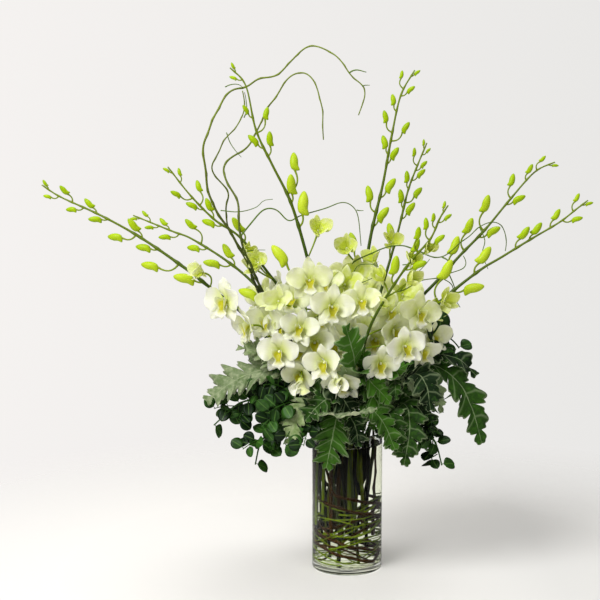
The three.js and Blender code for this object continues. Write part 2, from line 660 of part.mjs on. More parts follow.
// The five tepals in one sheet round the bloom's heart, each from an edge of the heart to its tip.
function starSkin(bloom, grow) {
  const { middle, front, right, crown } = bloomFrame(bloom);
  const lean = THREE.MathUtils.degToRad(18 + 52 * bloom.open);
  const bend = THREE.MathUtils.degToRad(22 + 16 * bloom.open);
  const rim = { normal: front, thickness: bloomHeart.rim + 2 * grow };
  const points = [{ at: middle, normal: front, thickness: bloomHeart.depth + 2 * grow }];
  const count = tepals.length;
  tepals.forEach(({ turn }, i) => {
    const before = tepals[(i + count - 1) % count].turn - (i === 0 ? 360 : 0);
    const angle = THREE.MathUtils.degToRad((turn + before) / 2);
    const out = right.clone().multiplyScalar(Math.cos(angle)).addScaledVector(crown, Math.sin(angle));
    points.push({ at: middle.clone().addScaledVector(out, bloomHeart.radius + grow), ...rim });
  });
  const faces = [];
  tepals.forEach((tepal, i) => {
    const [a, b] = [1 + i, 1 + ((i + 1) % count)];
    const c = points.length;
    for (const [u, v] of [[0.32, -1], [0.32, 1], [0.76, -1], [0.76, 1], [1, 0]]) {
      points.push(tepalPoint(bloom, tepal, lean, bend, u, v, grow));
    }
    faces.push([0, a, b], [a, c, c + 1], [a, c + 1, b]);
    faces.push([c, c + 2, c + 3], [c, c + 3, c + 1], [c + 2, c + 4, c + 3]);
  });
  return sheetSkin(points, faces);
}

// The lip: a trough from a point in the heart to its tip, bent down.
function lipSkin(bloom, grow) {
  const [lean, bend] = [lip.lean, lip.bend].map(THREE.MathUtils.degToRad);
  const points = [[0, 0], [0.35, -1], [0.35, 0], [0.35, 1], [0.75, -1], [0.75, 0], [0.75, 1], [1, 0]].map(
    ([u, v]) => tepalPoint(bloom, lip, lean, bend, u, v, grow),
  );
  const faces = [[0, 1, 2], [0, 2, 3], [1, 4, 5], [1, 5, 2], [2, 5, 6], [2, 6, 3], [4, 7, 5], [5, 7, 6]];
  return sheetSkin(points, faces);
}

function bloomSkin(bloom, grow) {
  const star = starSkin(bloom, grow);
  return bloom.open > 0.6 ? star.add(lipSkin(bloom, grow)) : star;
}

// A leaf along its midrib, from a list of [u, half width, half depth], its upper side towards a direction.
function leafLoops(curve, face, list) {
  return list.map(([u, halfWidth, halfDepth]) => {
    const forward = curve.getTangentAt(u);
    const across = new THREE.Vector3().crossVectors(forward, face).normalize();
    const other = new THREE.Vector3().crossVectors(across, forward);
    const at = curve.getPointAt(u).addScaledVector(forward, miller.sweep * halfWidth);
    return { at, across, other, halfWidth, halfDepth };
  });
}

// A dusty miller leaf: a narrow stalk, then lobes whose half width rises and falls along the midrib.
function millerShoot(path, { rib, width, lobes = miller.lobes }) {
  const curve = curveThrough(rib);
  const list = [[miller.petiole, miller.neck, miller.neck]];
  for (let k = 1; k <= 2 * lobes; k++) {
    const share = k / (2 * lobes + 1);
    const envelope = Math.sin(Math.PI * Math.pow(share, 0.75)) ** 0.6;
    const halfWidth = (width / 2) * envelope * (k % 2 ? 1 : miller.notch);
    list.push([miller.petiole + (0.96 - miller.petiole) * share, halfWidth, bladeThickness / 2]);
  }
  list.push([1, miller.tipHalfWidth, bladeThickness / 2]);
  return { distance: nearestDistance(path, curve.getPoint(0)), loops: leafLoops(curve, leafFace, list) };
}

function millerSkin({ route, place, leaves }, grow) {
  const line = [...route, [...place, mouthHeight]].map((p) => new THREE.Vector3(...p));
  const path = measured([...line, footOf(place)]);
  return branchSkin(path, leafStem, leaves.map((leaf) => millerShoot(path, leaf)), grow);
}

// A round leaf on a short stalk that leaves the sprig to one side, each leaf turned on from the last.
function roundLeafShoot(path, index, count) {
  const distance = roundLeaf.first + index * roundLeaf.pitch;
  const { at, outward, side, depth } = stemFrame(path.curve, distance);
  const angle = roundLeaf.turn * index;
  const heading = side.clone().multiplyScalar(Math.cos(angle)).addScaledVector(depth, -Math.sin(angle));
  heading.multiplyScalar(0.97).addScaledVector(outward, 0.25).normalize();
  const size = 1 - roundLeaf.shrink * (1 - index / count);
  const face = leafFace.clone().addScaledVector(outward, 0.3);
  const across = new THREE.Vector3().crossVectors(heading, face).normalize();
  const other = new THREE.Vector3().crossVectors(across, heading);
  const radius = (size * roundLeaf.width) / 2;
  const along = (reach) => at.clone().addScaledVector(heading, size * roundLeaf.stalk + reach);
  const loops = [{ at: along(0), across, other, halfWidth: roundLeaf.neck, halfDepth: roundLeaf.neck }];
  for (const [share, wide] of roundLeaf.outline) {
    const row = { at: along(radius * share), across, other };
    loops.push({ ...row, halfWidth: radius * wide, halfDepth: bladeThickness / 2 });
  }
  return { distance, loops };
}

function sprigSkin(sprig, grow) {
  const path = stemPath(sprig, leafStem.step);
  const shoots = Array.from({ length: sprig.leaves }, (_, i) => roundLeafShoot(path, i, sprig.leaves));
  return branchSkin(path, leafStem, shoots, grow);
}

function spraySkin(spray, number, grow) {
  const path = stemPath(spray, stem.step);
  const buds = spray.buds.map((one, i) => budShoot(path, one, i));
  const stalks = blooms.filter((b) => b.spray === number).map((b) => stalkShoot(path, b));
  return branchSkin(path, stem, [...buds, ...stalks], grow);
}

// A twig of willow: sections along a curve from the branch to its tip.
function twigShoot(path, points) {
  const curve = curveThrough(points);
  const steps = Math.round(curve.getLength() / willow.step);
  const loops = Array.from({ length: steps }, (_, i) => {
    const share = (i + 1) / steps;
    const radius = THREE.MathUtils.lerp(willow.twigFoot, willow.tip, share);
    return roundLoop(curve.getPointAt(share), curve.getTangentAt(share), away, radius);
  });
  return { distance: nearestDistance(path, curve.getPoint(0)), loops };
}

function willowSkin(branch, grow) {
  const path = stemPath(branch, willow.step, branch.turns ? willowInVase(branch) : [footOf(branch.place)]);
  return branchSkin(path, willow, branch.twigs.map((points) => twigShoot(path, points)), grow);
}

// A turned solid from its profile, which starts and ends on the axis.
function turned(profile) {
  const outline = profile.map(([r, z]) => new THREE.Vector2(r, z));
  const geometry = new THREE.LatheGeometry(outline, vase.sides);
  geometry.rotateX(Math.PI / 2);
  geometry.deleteAttribute("normal");
  geometry.deleteAttribute("uv");
  const merged = mergeVertices(geometry, 1e-3);
  const at = merged.attributes.position;
  const points = Array.from({ length: at.count }, (_, i) => new THREE.Vector3().fromBufferAttribute(at, i));
  const index = Array.from(merged.index.array);
  const faces = [];
  for (let i = 0; i < index.length; i += 3) {
    const face = index.slice(i, i + 3);
    if (new Set(face).size === 3) faces.push(face);
  }
  return solidOf(points, faces);
}

function vaseSkin() {
  const { radius, height, wall, floor, edge } = vase;
  return turned([
    [0, 0], [radius - edge, 0], [radius, edge], [radius, height],
    [radius - wall, height], [radius - wall, floor], [0, floor],
  ]);
}

function waterSkin() {
  const radius = vase.radius - vase.wall - water.gap;
  const bottom = vase.floor + water.gap;
  return turned([[0, bottom], [radius, bottom], [radius, water.level], [0, water.level]]);
}

function boxesMeet(a, b) {
  return [0, 1, 2].every((i) => a.min[i] <= b.max[i] && b.min[i] <= a.max[i]);
}

function biggestBody(solid) {
  return solid.decompose().reduce((best, body) => (body.volume() > best.volume() ? body : best));
}

const arrangement = new THREE.Group();
const placed = [];

// Adds a piece, cut clear of the pieces before it, and remembers its own swollen shape for those after it.
function place(name, finish, make) {
  let solid = make(0);
  const box = solid.boundingBox();
  for (const earlier of placed) {
    if (boxesMeet(box, earlier.box)) solid = solid.subtract(earlier.swollen);
  }
  const swollen = make(clearance);
  placed.push({ swollen, box: swollen.boundingBox() });
  const { vertProperties, triVerts } = biggestBody(solid).getMesh();
  const geometry = new THREE.BufferGeometry();
  geometry.setAttribute("position", new THREE.BufferAttribute(new Float32Array(vertProperties), 3));
  geometry.setIndex(new THREE.BufferAttribute(new Uint32Array(triVerts), 1));
  const mesh = new THREE.Mesh(geometry, new THREE.MeshStandardMaterial(finish));
  mesh.name = name;
  arrangement.add(mesh);
}

sprays.forEach((spray, i) => {
  place(`orchid_spray_${i + 1}`, limeGreen, (grow) => spraySkin(spray, i + 1, grow));
});
willows.forEach((branch, i) => {
  place(`curly_willow_${i + 1}`, bark, (grow) => willowSkin(branch, grow));
});
blooms.forEach((bloom, i) => {
  place(`orchid_bloom_${i + 1}`, petalWhite, (grow) => bloomSkin(bloom, grow));
});
millers.forEach((bunch, i) => {
  place(`dusty_miller_${i + 1}`, bunch.finish, (grow) => millerSkin(bunch, grow));
});
sprigs.forEach((sprig, i) => {
  place(`round_leaf_sprig_${i + 1}`, darkGreen, (grow) => sprigSkin(sprig, grow));
});
place("water", clearWater, waterSkin);
place("vase", clearGlass, vaseSkin);

export default arrangement;
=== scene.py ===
# A florist's glass cylinder of water with sprays of white dendrobium orchids, curly willow, dusty miller
# and sprigs of round leaves. Sizes are in millimetres and angles in degrees, the origin is the middle of
# the vase's foot, and the viewer stands on the -Y side. Meshes are scaled to metres as they are made.
from functools import partial

import bpy
import numpy as np
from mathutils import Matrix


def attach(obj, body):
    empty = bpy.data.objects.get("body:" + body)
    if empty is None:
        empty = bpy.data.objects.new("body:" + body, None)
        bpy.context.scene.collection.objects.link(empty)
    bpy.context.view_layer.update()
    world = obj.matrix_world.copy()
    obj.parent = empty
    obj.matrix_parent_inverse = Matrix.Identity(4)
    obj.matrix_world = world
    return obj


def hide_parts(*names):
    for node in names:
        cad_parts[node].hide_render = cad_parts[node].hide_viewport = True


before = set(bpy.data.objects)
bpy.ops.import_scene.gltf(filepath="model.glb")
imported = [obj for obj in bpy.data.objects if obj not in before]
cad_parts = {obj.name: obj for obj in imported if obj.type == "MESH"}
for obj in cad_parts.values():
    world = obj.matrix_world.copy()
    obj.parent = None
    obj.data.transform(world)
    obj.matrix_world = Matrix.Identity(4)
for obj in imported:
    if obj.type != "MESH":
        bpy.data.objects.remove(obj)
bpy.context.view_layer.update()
millimetre = 0.001
print("frame:", len(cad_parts), "nodes")


# An sRGB colour from its hex text, as linear red, green and blue and a full alpha.
def hexColour(text):
    value = np.array([int(text[i : i + 2], 16) for i in (1, 3, 5)]) / 255
    linear = np.where(value <= 0.04045, value / 12.92, ((value + 0.055) / 1.055) ** 2.4)
    return (*linear.tolist(), 1.0)


# Adds a node with its settings and links, and returns one of its outputs. Its inputs are given in order, or
# by name or number, each as a value, as a colour's hex text or as the output of another node.
def addNode(tree, kind, inputs=(), output=0, **settings):
    node = tree.nodes.new("ShaderNode" + kind)
    for name, value in settings.items():
        setattr(node, name, value)
    for name, value in inputs.items() if isinstance(inputs, dict) else enumerate(inputs):
        if isinstance(value, bpy.types.NodeSocket):
            tree.links.new(value, node.inputs[name])
        else:
            node.inputs[name].default_value = hexColour(value) if isinstance(value, str) else value
    return node.outputs[output] if len(node.outputs) else None


# A material without nodes, and the function that adds one to it.
def emptyMaterial(name):
    material = bpy.data.materials.new(name)
    material.use_nodes = True
    material.node_tree.nodes.clear()
    return material, partial(addNode, material.node_tree)


# A material from its recipe, a function that adds its nodes and returns the inputs of its surface. The
# recipe gets each point's position, and the marks that each shape carries: how far along it the point is,
# how far across, on which side, and its tint.
def makeMaterial(name, recipe, *values):
    material, add = emptyMaterial(name)
    position = add("TexCoord", output="Object")
    place = add("Attribute", output="Vector", attribute_name="place")
    marks = [add("SeparateXYZ", [place], axis) for axis in range(3)]
    marks.append(add("Attribute", output="Fac", attribute_name="tint"))
    shader = add("BsdfPrincipled", recipe(add, position, marks, *values))
    add("OutputMaterial", {"Surface": shader})
    return material


# The share of a point that lies in the vase's water: all of it near the axis and below 180 mm.
def inWater(add, position):
    level = add("VectorMath", [position, (1.0, 1.0, 0.0)], operation="MULTIPLY")
    reach = add("VectorMath", [level], "Value", operation="LENGTH")
    inside = add("Math", [reach, 50 * millimetre], operation="LESS_THAN")
    height = add("SeparateXYZ", [position], 2)
    below = add("MapRange", [height, 180 * millimetre, 210 * millimetre, 1.0, 0.0])
    return add("Math", [below, inside], operation="MULTIPLY")


# A dictionary for each row of a list, with the same keys in all.
def named(keys, rows):
    return [dict(zip(keys, row)) for row in rows]


# Arrows drawn out or in to a length of 1.
def unit(vectors):
    return vectors / np.linalg.norm(vectors, axis=-1, keepdims=True)


# The smooth curve through some points: on each stretch a cubic whose slope at a point is half the way
# from the point before to the point after. The two ends get a mirrored neighbour.
def curveThrough(points, steps=24):
    p = np.array(points, float)
    p = np.vstack([2 * p[0] - p[1], p, 2 * p[-1] - p[-2]])
    a, b, c, d = (p[k : len(p) - 3 + k, None] for k in range(4))
    t = np.linspace(0, 1, steps, endpoint=False)[None, :, None]
    cubic = 2 * b + (c - a) * t + (2 * a - 5 * b + 4 * c - d) * t**2 + (3 * b - a - 3 * c + d) * t**3
    return np.vstack([cubic.reshape(-1, 3) / 2, p[-2]])


# The distance from a path's start to each of its points.
def lengthsAlong(path):
    return np.append(0, np.cumsum(np.linalg.norm(np.diff(path, axis=0), axis=1)))


# The points of a path at some distances from its start, on its straight stretches.
def pointsAt(path, distances):
    reach = lengthsAlong(path)
    return np.stack([np.interp(distances, reach, path[:, axis]) for axis in range(3)], axis=-1)


# A path with a number of points at even distances.
def respaced(path, count):
    return pointsAt(path, np.linspace(0, lengthsAlong(path)[-1], count))


# A path with its corners rounded: each point becomes the mean of those around it, and beyond an end the
# path goes on as its own mirror image.
def softened(path, reach):
    padded = np.pad(path, ((reach, reach), (0, 0)), "reflect", reflect_type="odd")
    kernel = np.ones(2 * reach + 1) / (2 * reach + 1)
    return np.stack([np.convolve(padded[:, axis], kernel, "valid") for axis in range(3)], axis=-1)


# A path with a point every 2 mm and its corners rounded.
def evened(path, reach):
    return softened(respaced(path, int(lengthsAlong(path)[-1] / 2)), reach)


# A shape is its points, its faces and its marks. This one is a stack of rings, each joined to the next by
# four-sided faces, with a flat end at each side.
def lofted(rings, along, across, side, tint):
    rows, columns = rings.shape[:2]
    i = np.arange(rows - 1)[:, None] * columns
    j = np.arange(columns)[None, :]
    k = (j + 1) % columns
    quads = np.stack([i + j, i + k, i + columns + k, i + columns + j], axis=-1).reshape(-1, 4)
    ends = [list(range(columns))[::-1], list(range((rows - 1) * columns, rows * columns))]
    marks = np.stack([np.broadcast_to(m, (rows, columns)) for m in (along, across, side, tint)], axis=-1)
    return rings.reshape(-1, 3), quads.tolist() + ends, marks.reshape(-1, 4)


# A tube: circles carried along a path. A circle's two axes are square to the path, and the first of them
# is square to the direction that the path keeps clear of best.
def tube(path, radius, columns=8, side=0.0, tint=0.0):
    along = unit(np.gradient(path, axis=0))
    choices = unit(np.array([[0.2, 1, 0.3], [1, 0, 1], [1, 0.2, -1]]))
    clearest = np.abs(along @ choices.T).max(axis=0).argmin()
    across = unit(np.cross(along, choices[clearest]))
    other = np.cross(along, across)
    v = np.linspace(0, 2 * np.pi, columns, endpoint=False)[None, :, None]
    circle = np.cos(v) * across[:, None] + np.sin(v) * other[:, None]
    size = np.broadcast_to(radius, len(path))[:, None, None]
    share = np.linspace(0, 1, len(path))[:, None]
    return lofted(path[:, None] + size * circle, share, np.cos(v[..., 0]), side, tint)


# The grid of a leaf or petal: u along the midrib, w across it from -1 to 1, and the side, which is 1 on
# the upper face, -1 on the lower one and 0 at the edges, as the section is a lens.
def bladeGrid(rows, columns, first=0.01, last=0.99):
    u = np.linspace(first, last, rows)[:, None]
    v = np.linspace(0, 2 * np.pi, columns, endpoint=False)[None, :]
    return u, np.cos(v), np.sin(v)


# A leaf or petal: each point is the midrib's, shifted along it, and then across it and off it, square to
# the way that the blade faces.
def blade(midrib, face, across, lift, marks, shift=0):
    along = unit(np.gradient(midrib, axis=0))
    sideways = unit(np.cross(face, along))
    normal = np.cross(along, sideways)
    rings = midrib[:, None] + across[..., None] * sideways[:, None]
    rings = rings + lift[..., None] * normal[:, None] + np.asarray(shift)[..., None] * along[:, None]
    return lofted(rings, *marks)


# Points round the upright axis, from how far out they are, their angle and their height.
def roundAxis(reach, angle, height):
    return np.stack(np.broadcast_arrays(reach * np.cos(angle), reach * np.sin(angle), height), axis=-1)


# A bowed line from one point to another, drawn towards a third at its middle.
def bowed(start, towards, end, count):
    t = np.linspace(0, 1, count)[:, None]
    return (1 - t) ** 2 * start + 2 * t * (1 - t) * towards + t**2 * end


# Puts shapes in one mesh, which rides on the body. It stands for the CAD node of its name, or it is an
# added piece with another node's finish.
def makePiece(name, shapes, material, finishOf=None):
    starts = np.cumsum([0] + [len(points) for points, _, _ in shapes])
    points = np.vstack([points for points, _, _ in shapes]) * millimetre
    faces = [[k + int(start) for k in face] for (_, some, _), start in zip(shapes, starts) for face in some]
    marks = np.vstack([marks for _, _, marks in shapes])
    mesh = bpy.data.meshes.new(name + "_form")
    mesh.from_pydata(points.tolist(), [], faces)
    mesh.polygons.foreach_set("use_smooth", np.ones(len(faces), bool))
    mesh.attributes.new("place", "FLOAT_VECTOR", "POINT").data.foreach_set("vector", marks[:, :3].ravel())
    mesh.attributes.new("tint", "FLOAT", "POINT").data.foreach_set("value", marks[:, 3].ravel())
    mesh.materials.append(material)
    piece = bpy.data.objects.new(name + "_form", mesh)
    bpy.context.scene.collection.objects.link(piece)
    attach(piece, "root")
    if finishOf is None:
        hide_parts(name)
    return piece


# Vase: clear soda-lime glass, blown in a mould, with a thick foot. The eye sees dark and bright lines where
# the foot and the rim bend the light, and a slight waviness in what stands behind the wall.
vase = {"radius": 51, "height": 203, "wall": 3.5, "floor": 8.5, "edge": 2.4, "corner": 5, "hollow": 1.2}
vaseSides = 112
pole = 0.4  # a turned shape's ends are closed this far from the axis


# A rounded corner of a profile: points of a circle round (r, z) from one angle to another.
def corner(r, z, radius, start, end, count=7):
    angle = np.radians(np.linspace(start, end, count))
    return np.stack([r + radius * np.cos(angle), z + radius * np.sin(angle)], axis=1)


# A turned shape: a profile of radius and height carried round the vertical axis.
def turned(profile):
    r, z = np.vstack(profile).T[:, :, None]
    v = np.linspace(0, 2 * np.pi, vaseSides, endpoint=False)
    return lofted(roundAxis(r, v, z), np.linspace(0, 1, len(z))[:, None], np.cos(v), 0, 0)


# Smooth glass with slow waves from the mould and a faint bloom of dust.
def clearGlass(add, position, _):
    waves = add("TexNoise", {"Vector": position, "Scale": 1 / (30 * millimetre), "Detail": 1.0})
    dust = add("TexNoise", {"Vector": position, "Scale": 1 / (6 * millimetre), "Detail": 6.0})
    return {
        "Base Color": "#fbfdfb",
        "Roughness": add("MapRange", [dust, 0.55, 0.8, 0.0, 0.04]),
        "Normal": add("Bump", {"Strength": 0.35, "Distance": 0.4 * millimetre, "Height": waves}),
        "IOR": 1.5,
        "Transmission Weight": 1.0,
        "Specular Tint": "#787878",
    }


# The glass: its profile goes from under the foot, up the outside, over the rim and down to the floor.
def makeVase():
    radius, height, wall, floor, edge, inside, hollow = vase.values()
    inner = radius - wall
    profile = [
        [[pole, hollow], [radius * 0.5, hollow], [radius * 0.78, hollow], [radius * 0.84, hollow * 0.4]],
        corner(radius - edge * 2.2, edge * 0.5, edge * 0.5, -90, -90, 1),
        corner(radius - edge, edge, edge, -90, 0),
        [[radius, edge + 1], [radius, height * 0.3], [radius, height * 0.6], [radius, height - wall]],
        corner(radius - wall / 2, height - wall / 2, wall / 2, 0, 180, 13),
        [[inner, height - wall], [inner, height * 0.6], [inner, height * 0.3], [inner, floor + inside + 1]],
        corner(inner - inside, floor + inside, inside, 0, -90),
        [[inner - inside - 1, floor], [inner * 0.5, floor], [pole, floor]],
    ]
    glass = makeMaterial("clearBlownGlass", clearGlass)
    makePiece("vase", [turned(profile)], glass).visible_shadow = False  # clear glass hardly casts one


# Water: it reaches 0.1 mm into the glass, because a film of air between the two would act as a mirror. The
# specular tints of both are grey, as little light is reflected where water lies against glass.
# It rises by 2 mm where it meets the wall.
water = {"level": 185, "rise": 2.0, "overlap": 0.1}


# Water with a slight ripple and the greenish yellow of what stands in it.
def stillWater(add, position, _):
    ripple = add("TexNoise", {"Vector": position, "Scale": 1 / (18 * millimetre), "Detail": 1.0})
    return {
        "Base Color": "#f8fae6",
        "Roughness": 0.0,
        "Normal": add("Bump", {"Strength": 0.15, "Distance": 0.3 * millimetre, "Height": ripple}),
        "IOR": 1.333,
        "Transmission Weight": 1.0,
        "Specular Tint": "#7c7c7c",
    }


# The water: its profile goes along the vase's floor, up the wall, and back over its surface.
def makeWater():
    inner = vase["radius"] - vase["wall"]
    inside, floor, over = vase["corner"], vase["floor"], water["overlap"]
    level, rise = water["level"], water["rise"]
    profile = [
        [[pole, floor - over], [inner * 0.5, floor - over], [inner - inside - 1, floor - over]],
        corner(inner - inside, floor + inside, inside + over, -90, 0),
        [[inner + over, floor + inside + 1], [inner + over, level - 2], [inner + over, level + rise - 0.4]],
        [[inner + over, level + rise]],
        [[inner - 0.2, level + rise * 0.8], [inner - 0.9, level + rise * 0.35]],
        [[inner - 2.2, level + rise * 0.08], [inner - 4, level], [inner * 0.5, level], [pole, level]],
    ]
    liquid = makeMaterial("stillWater", stillWater)
    makePiece("water", [turned(profile)], liquid).visible_shadow = False


makeVase()
makeWater()
print("vase and water: made")

# Stems stand in the vase's mouth on a centre and rings, and are twisted and drawn in towards the foot.
bundle = {"mouth": 205, "foot": 10, "twist": 50, "drawnIn": 0.9, "uneven": 46, "lean": -9}
innerRing = {"radius": 17, "count": 7, "first": -26}
outerRing = {"radius": 33, "count": 14, "first": -90}
willowRing = {"radius": 41, "count": 24, "first": -26}


# The place of a stem of a ring, at even angles from the first.
def ringPlace(ring, k):
    angle = np.radians(ring["first"] + 360 * k / ring["count"])
    return ring["radius"] * np.cos(angle), ring["radius"] * np.sin(angle)


# A stem's foot: its place in the mouth, turned, drawn in and a little to the left. Some stems are cut
# longer than others.
def footOf(place):
    foot = bundle["foot"] + bundle["uneven"] * abs(np.sin(place[0] + 2 * place[1]))
    angle = np.radians(bundle["twist"])
    turn = np.array([[np.cos(angle), -np.sin(angle)], [np.sin(angle), np.cos(angle)]])
    x, y = bundle["drawnIn"] * turn @ np.array(place)
    return [x + bundle["lean"], y, foot]


# A stem from its tip: the smooth curve to the mouth, and then its part in the vase.
def stemPath(route, place, inVase=None):
    curve = curveThrough([*route, [*place, bundle["mouth"]]])
    return evened(np.vstack([curve, [footOf(place)] if inVase is None else inVase]), 4)


# The point on a path at a distance from its tip, the way out to the tip, and the two ways to its side.
def stemFrame(path, distance):
    before, at, after = pointsAt(path, np.array([distance - 3.0, distance, distance + 3.0]).clip(0))
    outward = unit(before - after)
    side = unit(np.cross(outward, [0, 1, 0]))
    return at, outward, side, np.cross(side, outward)


# The radius along a stem: from the tip's to the foot's, swelled at the knots.
def stemRadius(path, sizes, knots):
    reach = lengthsAlong(path)
    radius = sizes["tip"] + (sizes["foot"] - sizes["tip"]) * np.minimum(1, reach / sizes["growth"])
    near = np.exp(-(((reach[:, None] - np.array(knots)[None, :]) / sizes["knotReach"]) ** 2)).sum(axis=1)
    return radius * (1 + sizes["knot"] * np.minimum(1, near))


# Orchid sprays: green stems with side stalks, lime buds towards the tips. A bud is its distance from the
# tip, its reach to a side and its length.
sprayStem = {"tip": 0.95, "foot": 2.35, "growth": 260, "knot": 0.35, "knotReach": 5}
budForm = {
    "rows": 18,
    "columns": 14,
    "grown": 1.16,
    "fullness": 0.235,
    "chin": 0.2,
    "chinBack": 0.1,
    "hook": 0.1,
    "heading": (0.8, 0.55, 0.3),  # how far a bud points up the stem, away from it and to its side
    "stalk": 1.1,
    "pale": (20, 36),  # buds from this length to that grow paler
}
sprays = [
    {
        "route": [
            [-441, 20, 559], [-415, 20, 542], [-356, 10, 516], [-298, 0, 485], [-233, -14, 442],
            [-205, -20, 421], [-126, -28, 354],
        ],
        "place": ringPlace(innerRing, 5),
        "buds": [
            [2, -5, 9], [15, 10, 10], [33, -12, 14], [52, 11, 14], [74, -9, 15], [92, 9, 16],
            [128, 20, 20], [146, -11, 19], [174, 11, 19], [196, 28, 22], [250, 13, 25],
        ],
    },
    {
        "route": [
            [-322, 120, 509], [-258, 110, 484], [-235, 105, 476], [-181, 90, 444], [-136, 75, 408],
            [-69, 40, 338],
        ],
        "place": ringPlace(innerRing, 3),
        "buds": [
            [2, 5, 9], [15, -9, 10], [30, 8, 11], [46, -8, 13], [57, 13, 15], [88, -20, 17],
            [105, 12, 18], [145, 16, 21], [153, -13, 21], [218, 18, 26],
        ],
    },
    {
        "route": [
            [-263, 60, 584], [-231, 60, 543], [-194, 55, 506], [-157, 50, 481], [-113, 40, 426],
            [-91, 30, 398], [-47, 20, 326],
        ],
        "place": ringPlace(innerRing, 4),
        "buds": [
            [2, 5, 9], [16, -9, 10], [38, 15, 14], [50, -18, 15], [65, 9, 15], [82, -11, 17],
            [99, 10, 18], [136, -13, 21],
        ],
    },
    {
        "route": [
            [-167, -20, 724], [-145, -20, 700], [-131, -22, 638], [-108, -25, 589], [-83, -28, 539],
            [-65, -32, 482], [-55, -36, 441], [-37, -36, 351],
        ],
        "place": ringPlace(innerRing, 6),
        "buds": [
            [1, -5, 8], [12, 8, 9], [66, 8, 12], [76, -20, 15], [108, 9, 16], [116, -14, 17],
            [160, -30, 22], [187, -12, 24], [216, -17, 28], [276, 38, 28],
        ],
    },
    {
        "route": [
            [98, 60, 724], [78, 60, 688], [65, 55, 630], [52, 50, 558], [36, 40, 492], [22, 28, 412],
            [7, 15, 333],
        ],
        "place": [0, 0],
        "buds": [
            [1, -5, 9], [15, 13, 10], [27, -10, 12], [50, 9, 14], [76, 15, 15], [86, -18, 15],
            [112, 9, 17], [126, -9, 17], [172, -12, 20], [191, 17, 20], [216, -11, 21], [262, 25, 22],
        ],
    },
    {
        "route": [
            [124, 140, 618], [110, 135, 585], [95, 125, 547], [82, 115, 495], [71, 100, 458],
            [43, 70, 371], [20, 40, 315],
        ],
        "place": ringPlace(innerRing, 2),
        "buds": [
            [1, 5, 8], [9, -7, 8], [21, 13, 11], [31, -9, 12], [46, -10, 14], [60, 9, 15], [75, -16, 17],
            [90, 9, 17], [104, -11, 18], [145, 12, 21],
        ],
    },
    {
        "route": [
            [127, -150, 539], [116, -150, 522], [104, -145, 493], [78, -135, 462], [46, -115, 409],
            [25, -95, 362], [11, -60, 288],
        ],
        "place": ringPlace(outerRing, 1),
        "buds": [
            [2, 5, 8], [13, -9, 10], [22, 9, 10], [34, 14, 13], [45, -11, 14], [52, 19, 15], [71, 9, 16],
            [86, -12, 18], [109, 14, 22],
        ],
    },
    {
        "route": [
            [303, 50, 591], [274, 50, 577], [238, 50, 536], [202, 48, 492], [166, 45, 455],
            [136, 40, 422], [92, 30, 376], [40, 15, 304],
        ],
        "place": ringPlace(innerRing, 1),
        "buds": [
            [1, -5, 8], [14, 11, 10], [35, 9, 13], [62, 16, 16], [77, -10, 17], [113, 25, 22],
            [136, -12, 20], [156, 23, 21], [190, 16, 24],
        ],
    },
    {
        "route": [
            [330, -60, 541], [312, -60, 527], [292, -60, 511], [251, -58, 486], [210, -55, 460],
            [183, -52, 443], [135, -45, 403], [73, -30, 341], [32, -15, 280],
        ],
        "place": ringPlace(innerRing, 0),
        "buds": [
            [1, -5, 9], [9, 12, 11], [28, -11, 13], [46, 11, 15], [80, 9, 17], [98, 13, 18],
            [161, 14, 24], [199, -15, 25], [213, 29, 26],
        ],
    },
]

# The blooms: the spray that each grows on, its middle, the angles that it faces by, its size and how far
# it is open, and how far below it its stalk leaves the stem.
bloomKeys = ["spray", "at", "faces", "up", "roll", "size", "open", "drop"]
blooms = named(bloomKeys, [
    (1, [-171, -50, 399], -35, 5, 4, 31, 1, 16), (1, [-204, -44, 438], -60, 15, -10, 21, 0.3, 22),
    (1, [-137, -62, 366], -62, -4, 12, 27, 0.85, 16), (3, [-128, 2, 446], -14, 34, 8, 23, 0.35, 24),
    (4, [-98, -66, 400], -12, 18, -6, 25, 0.45, 14), (4, [-56, -78, 430], 2, 16, 3, 28, 1, 16),
    (4, [-26, -92, 396], 10, 2, -5, 29, 1, 18), (1, [-96, -86, 334], -18, -4, 6, 29, 1, 10),
    (4, [-68, -70, 364], -10, 6, -12, 25, 0.9, 10), (7, [-34, -104, 322], -20, -8, 5, 28, 0.85, 12),
    (1, [-66, -74, 300], -28, -16, -8, 26, 0.75, 4), (7, [-10, -88, 292], -4, -14, 8, 26, 0.85, -4),
    (7, [42, -90, 318], 6, -8, -4, 26, 0.9, -4), (7, [74, -106, 344], 14, 0, 10, 27, 1, 6),
    (9, [94, -78, 386], 22, 6, -7, 27, 0.95, 12), (9, [128, -78, 402], 42, 16, 4, 21, 0.3, 22),
    (9, [114, -56, 350], 36, -6, 10, 25, 0.85, 10), (7, [16, -84, 402], 0, 14, 6, 27, 0.9, 20),
    (9, [58, -58, 384], 8, 14, -9, 26, 0.9, 34), (5, [2, -52, 352], -2, 4, 0, 26, 0.9, 24),
    (5, [-2, -8, 468], -8, 32, -5, 23, 0.4, 30), (4, [-44, -26, 494], 12, 42, 6, 22, 0.4, 36),
    (6, [66, 74, 470], 4, 30, 0, 22, 0.4, 26), (2, [-122, 104, 384], 205, 4, 5, 29, 1, 52),
    (3, [-66, 84, 396], 188, 12, -8, 28, 0.95, 52), (5, [-2, 78, 376], 178, 6, 5, 28, 1, 52),
    (6, [40, 116, 398], 168, 8, -4, 28, 1, 52), (8, [98, 76, 362], 146, 4, 6, 28, 0.95, 52),
])

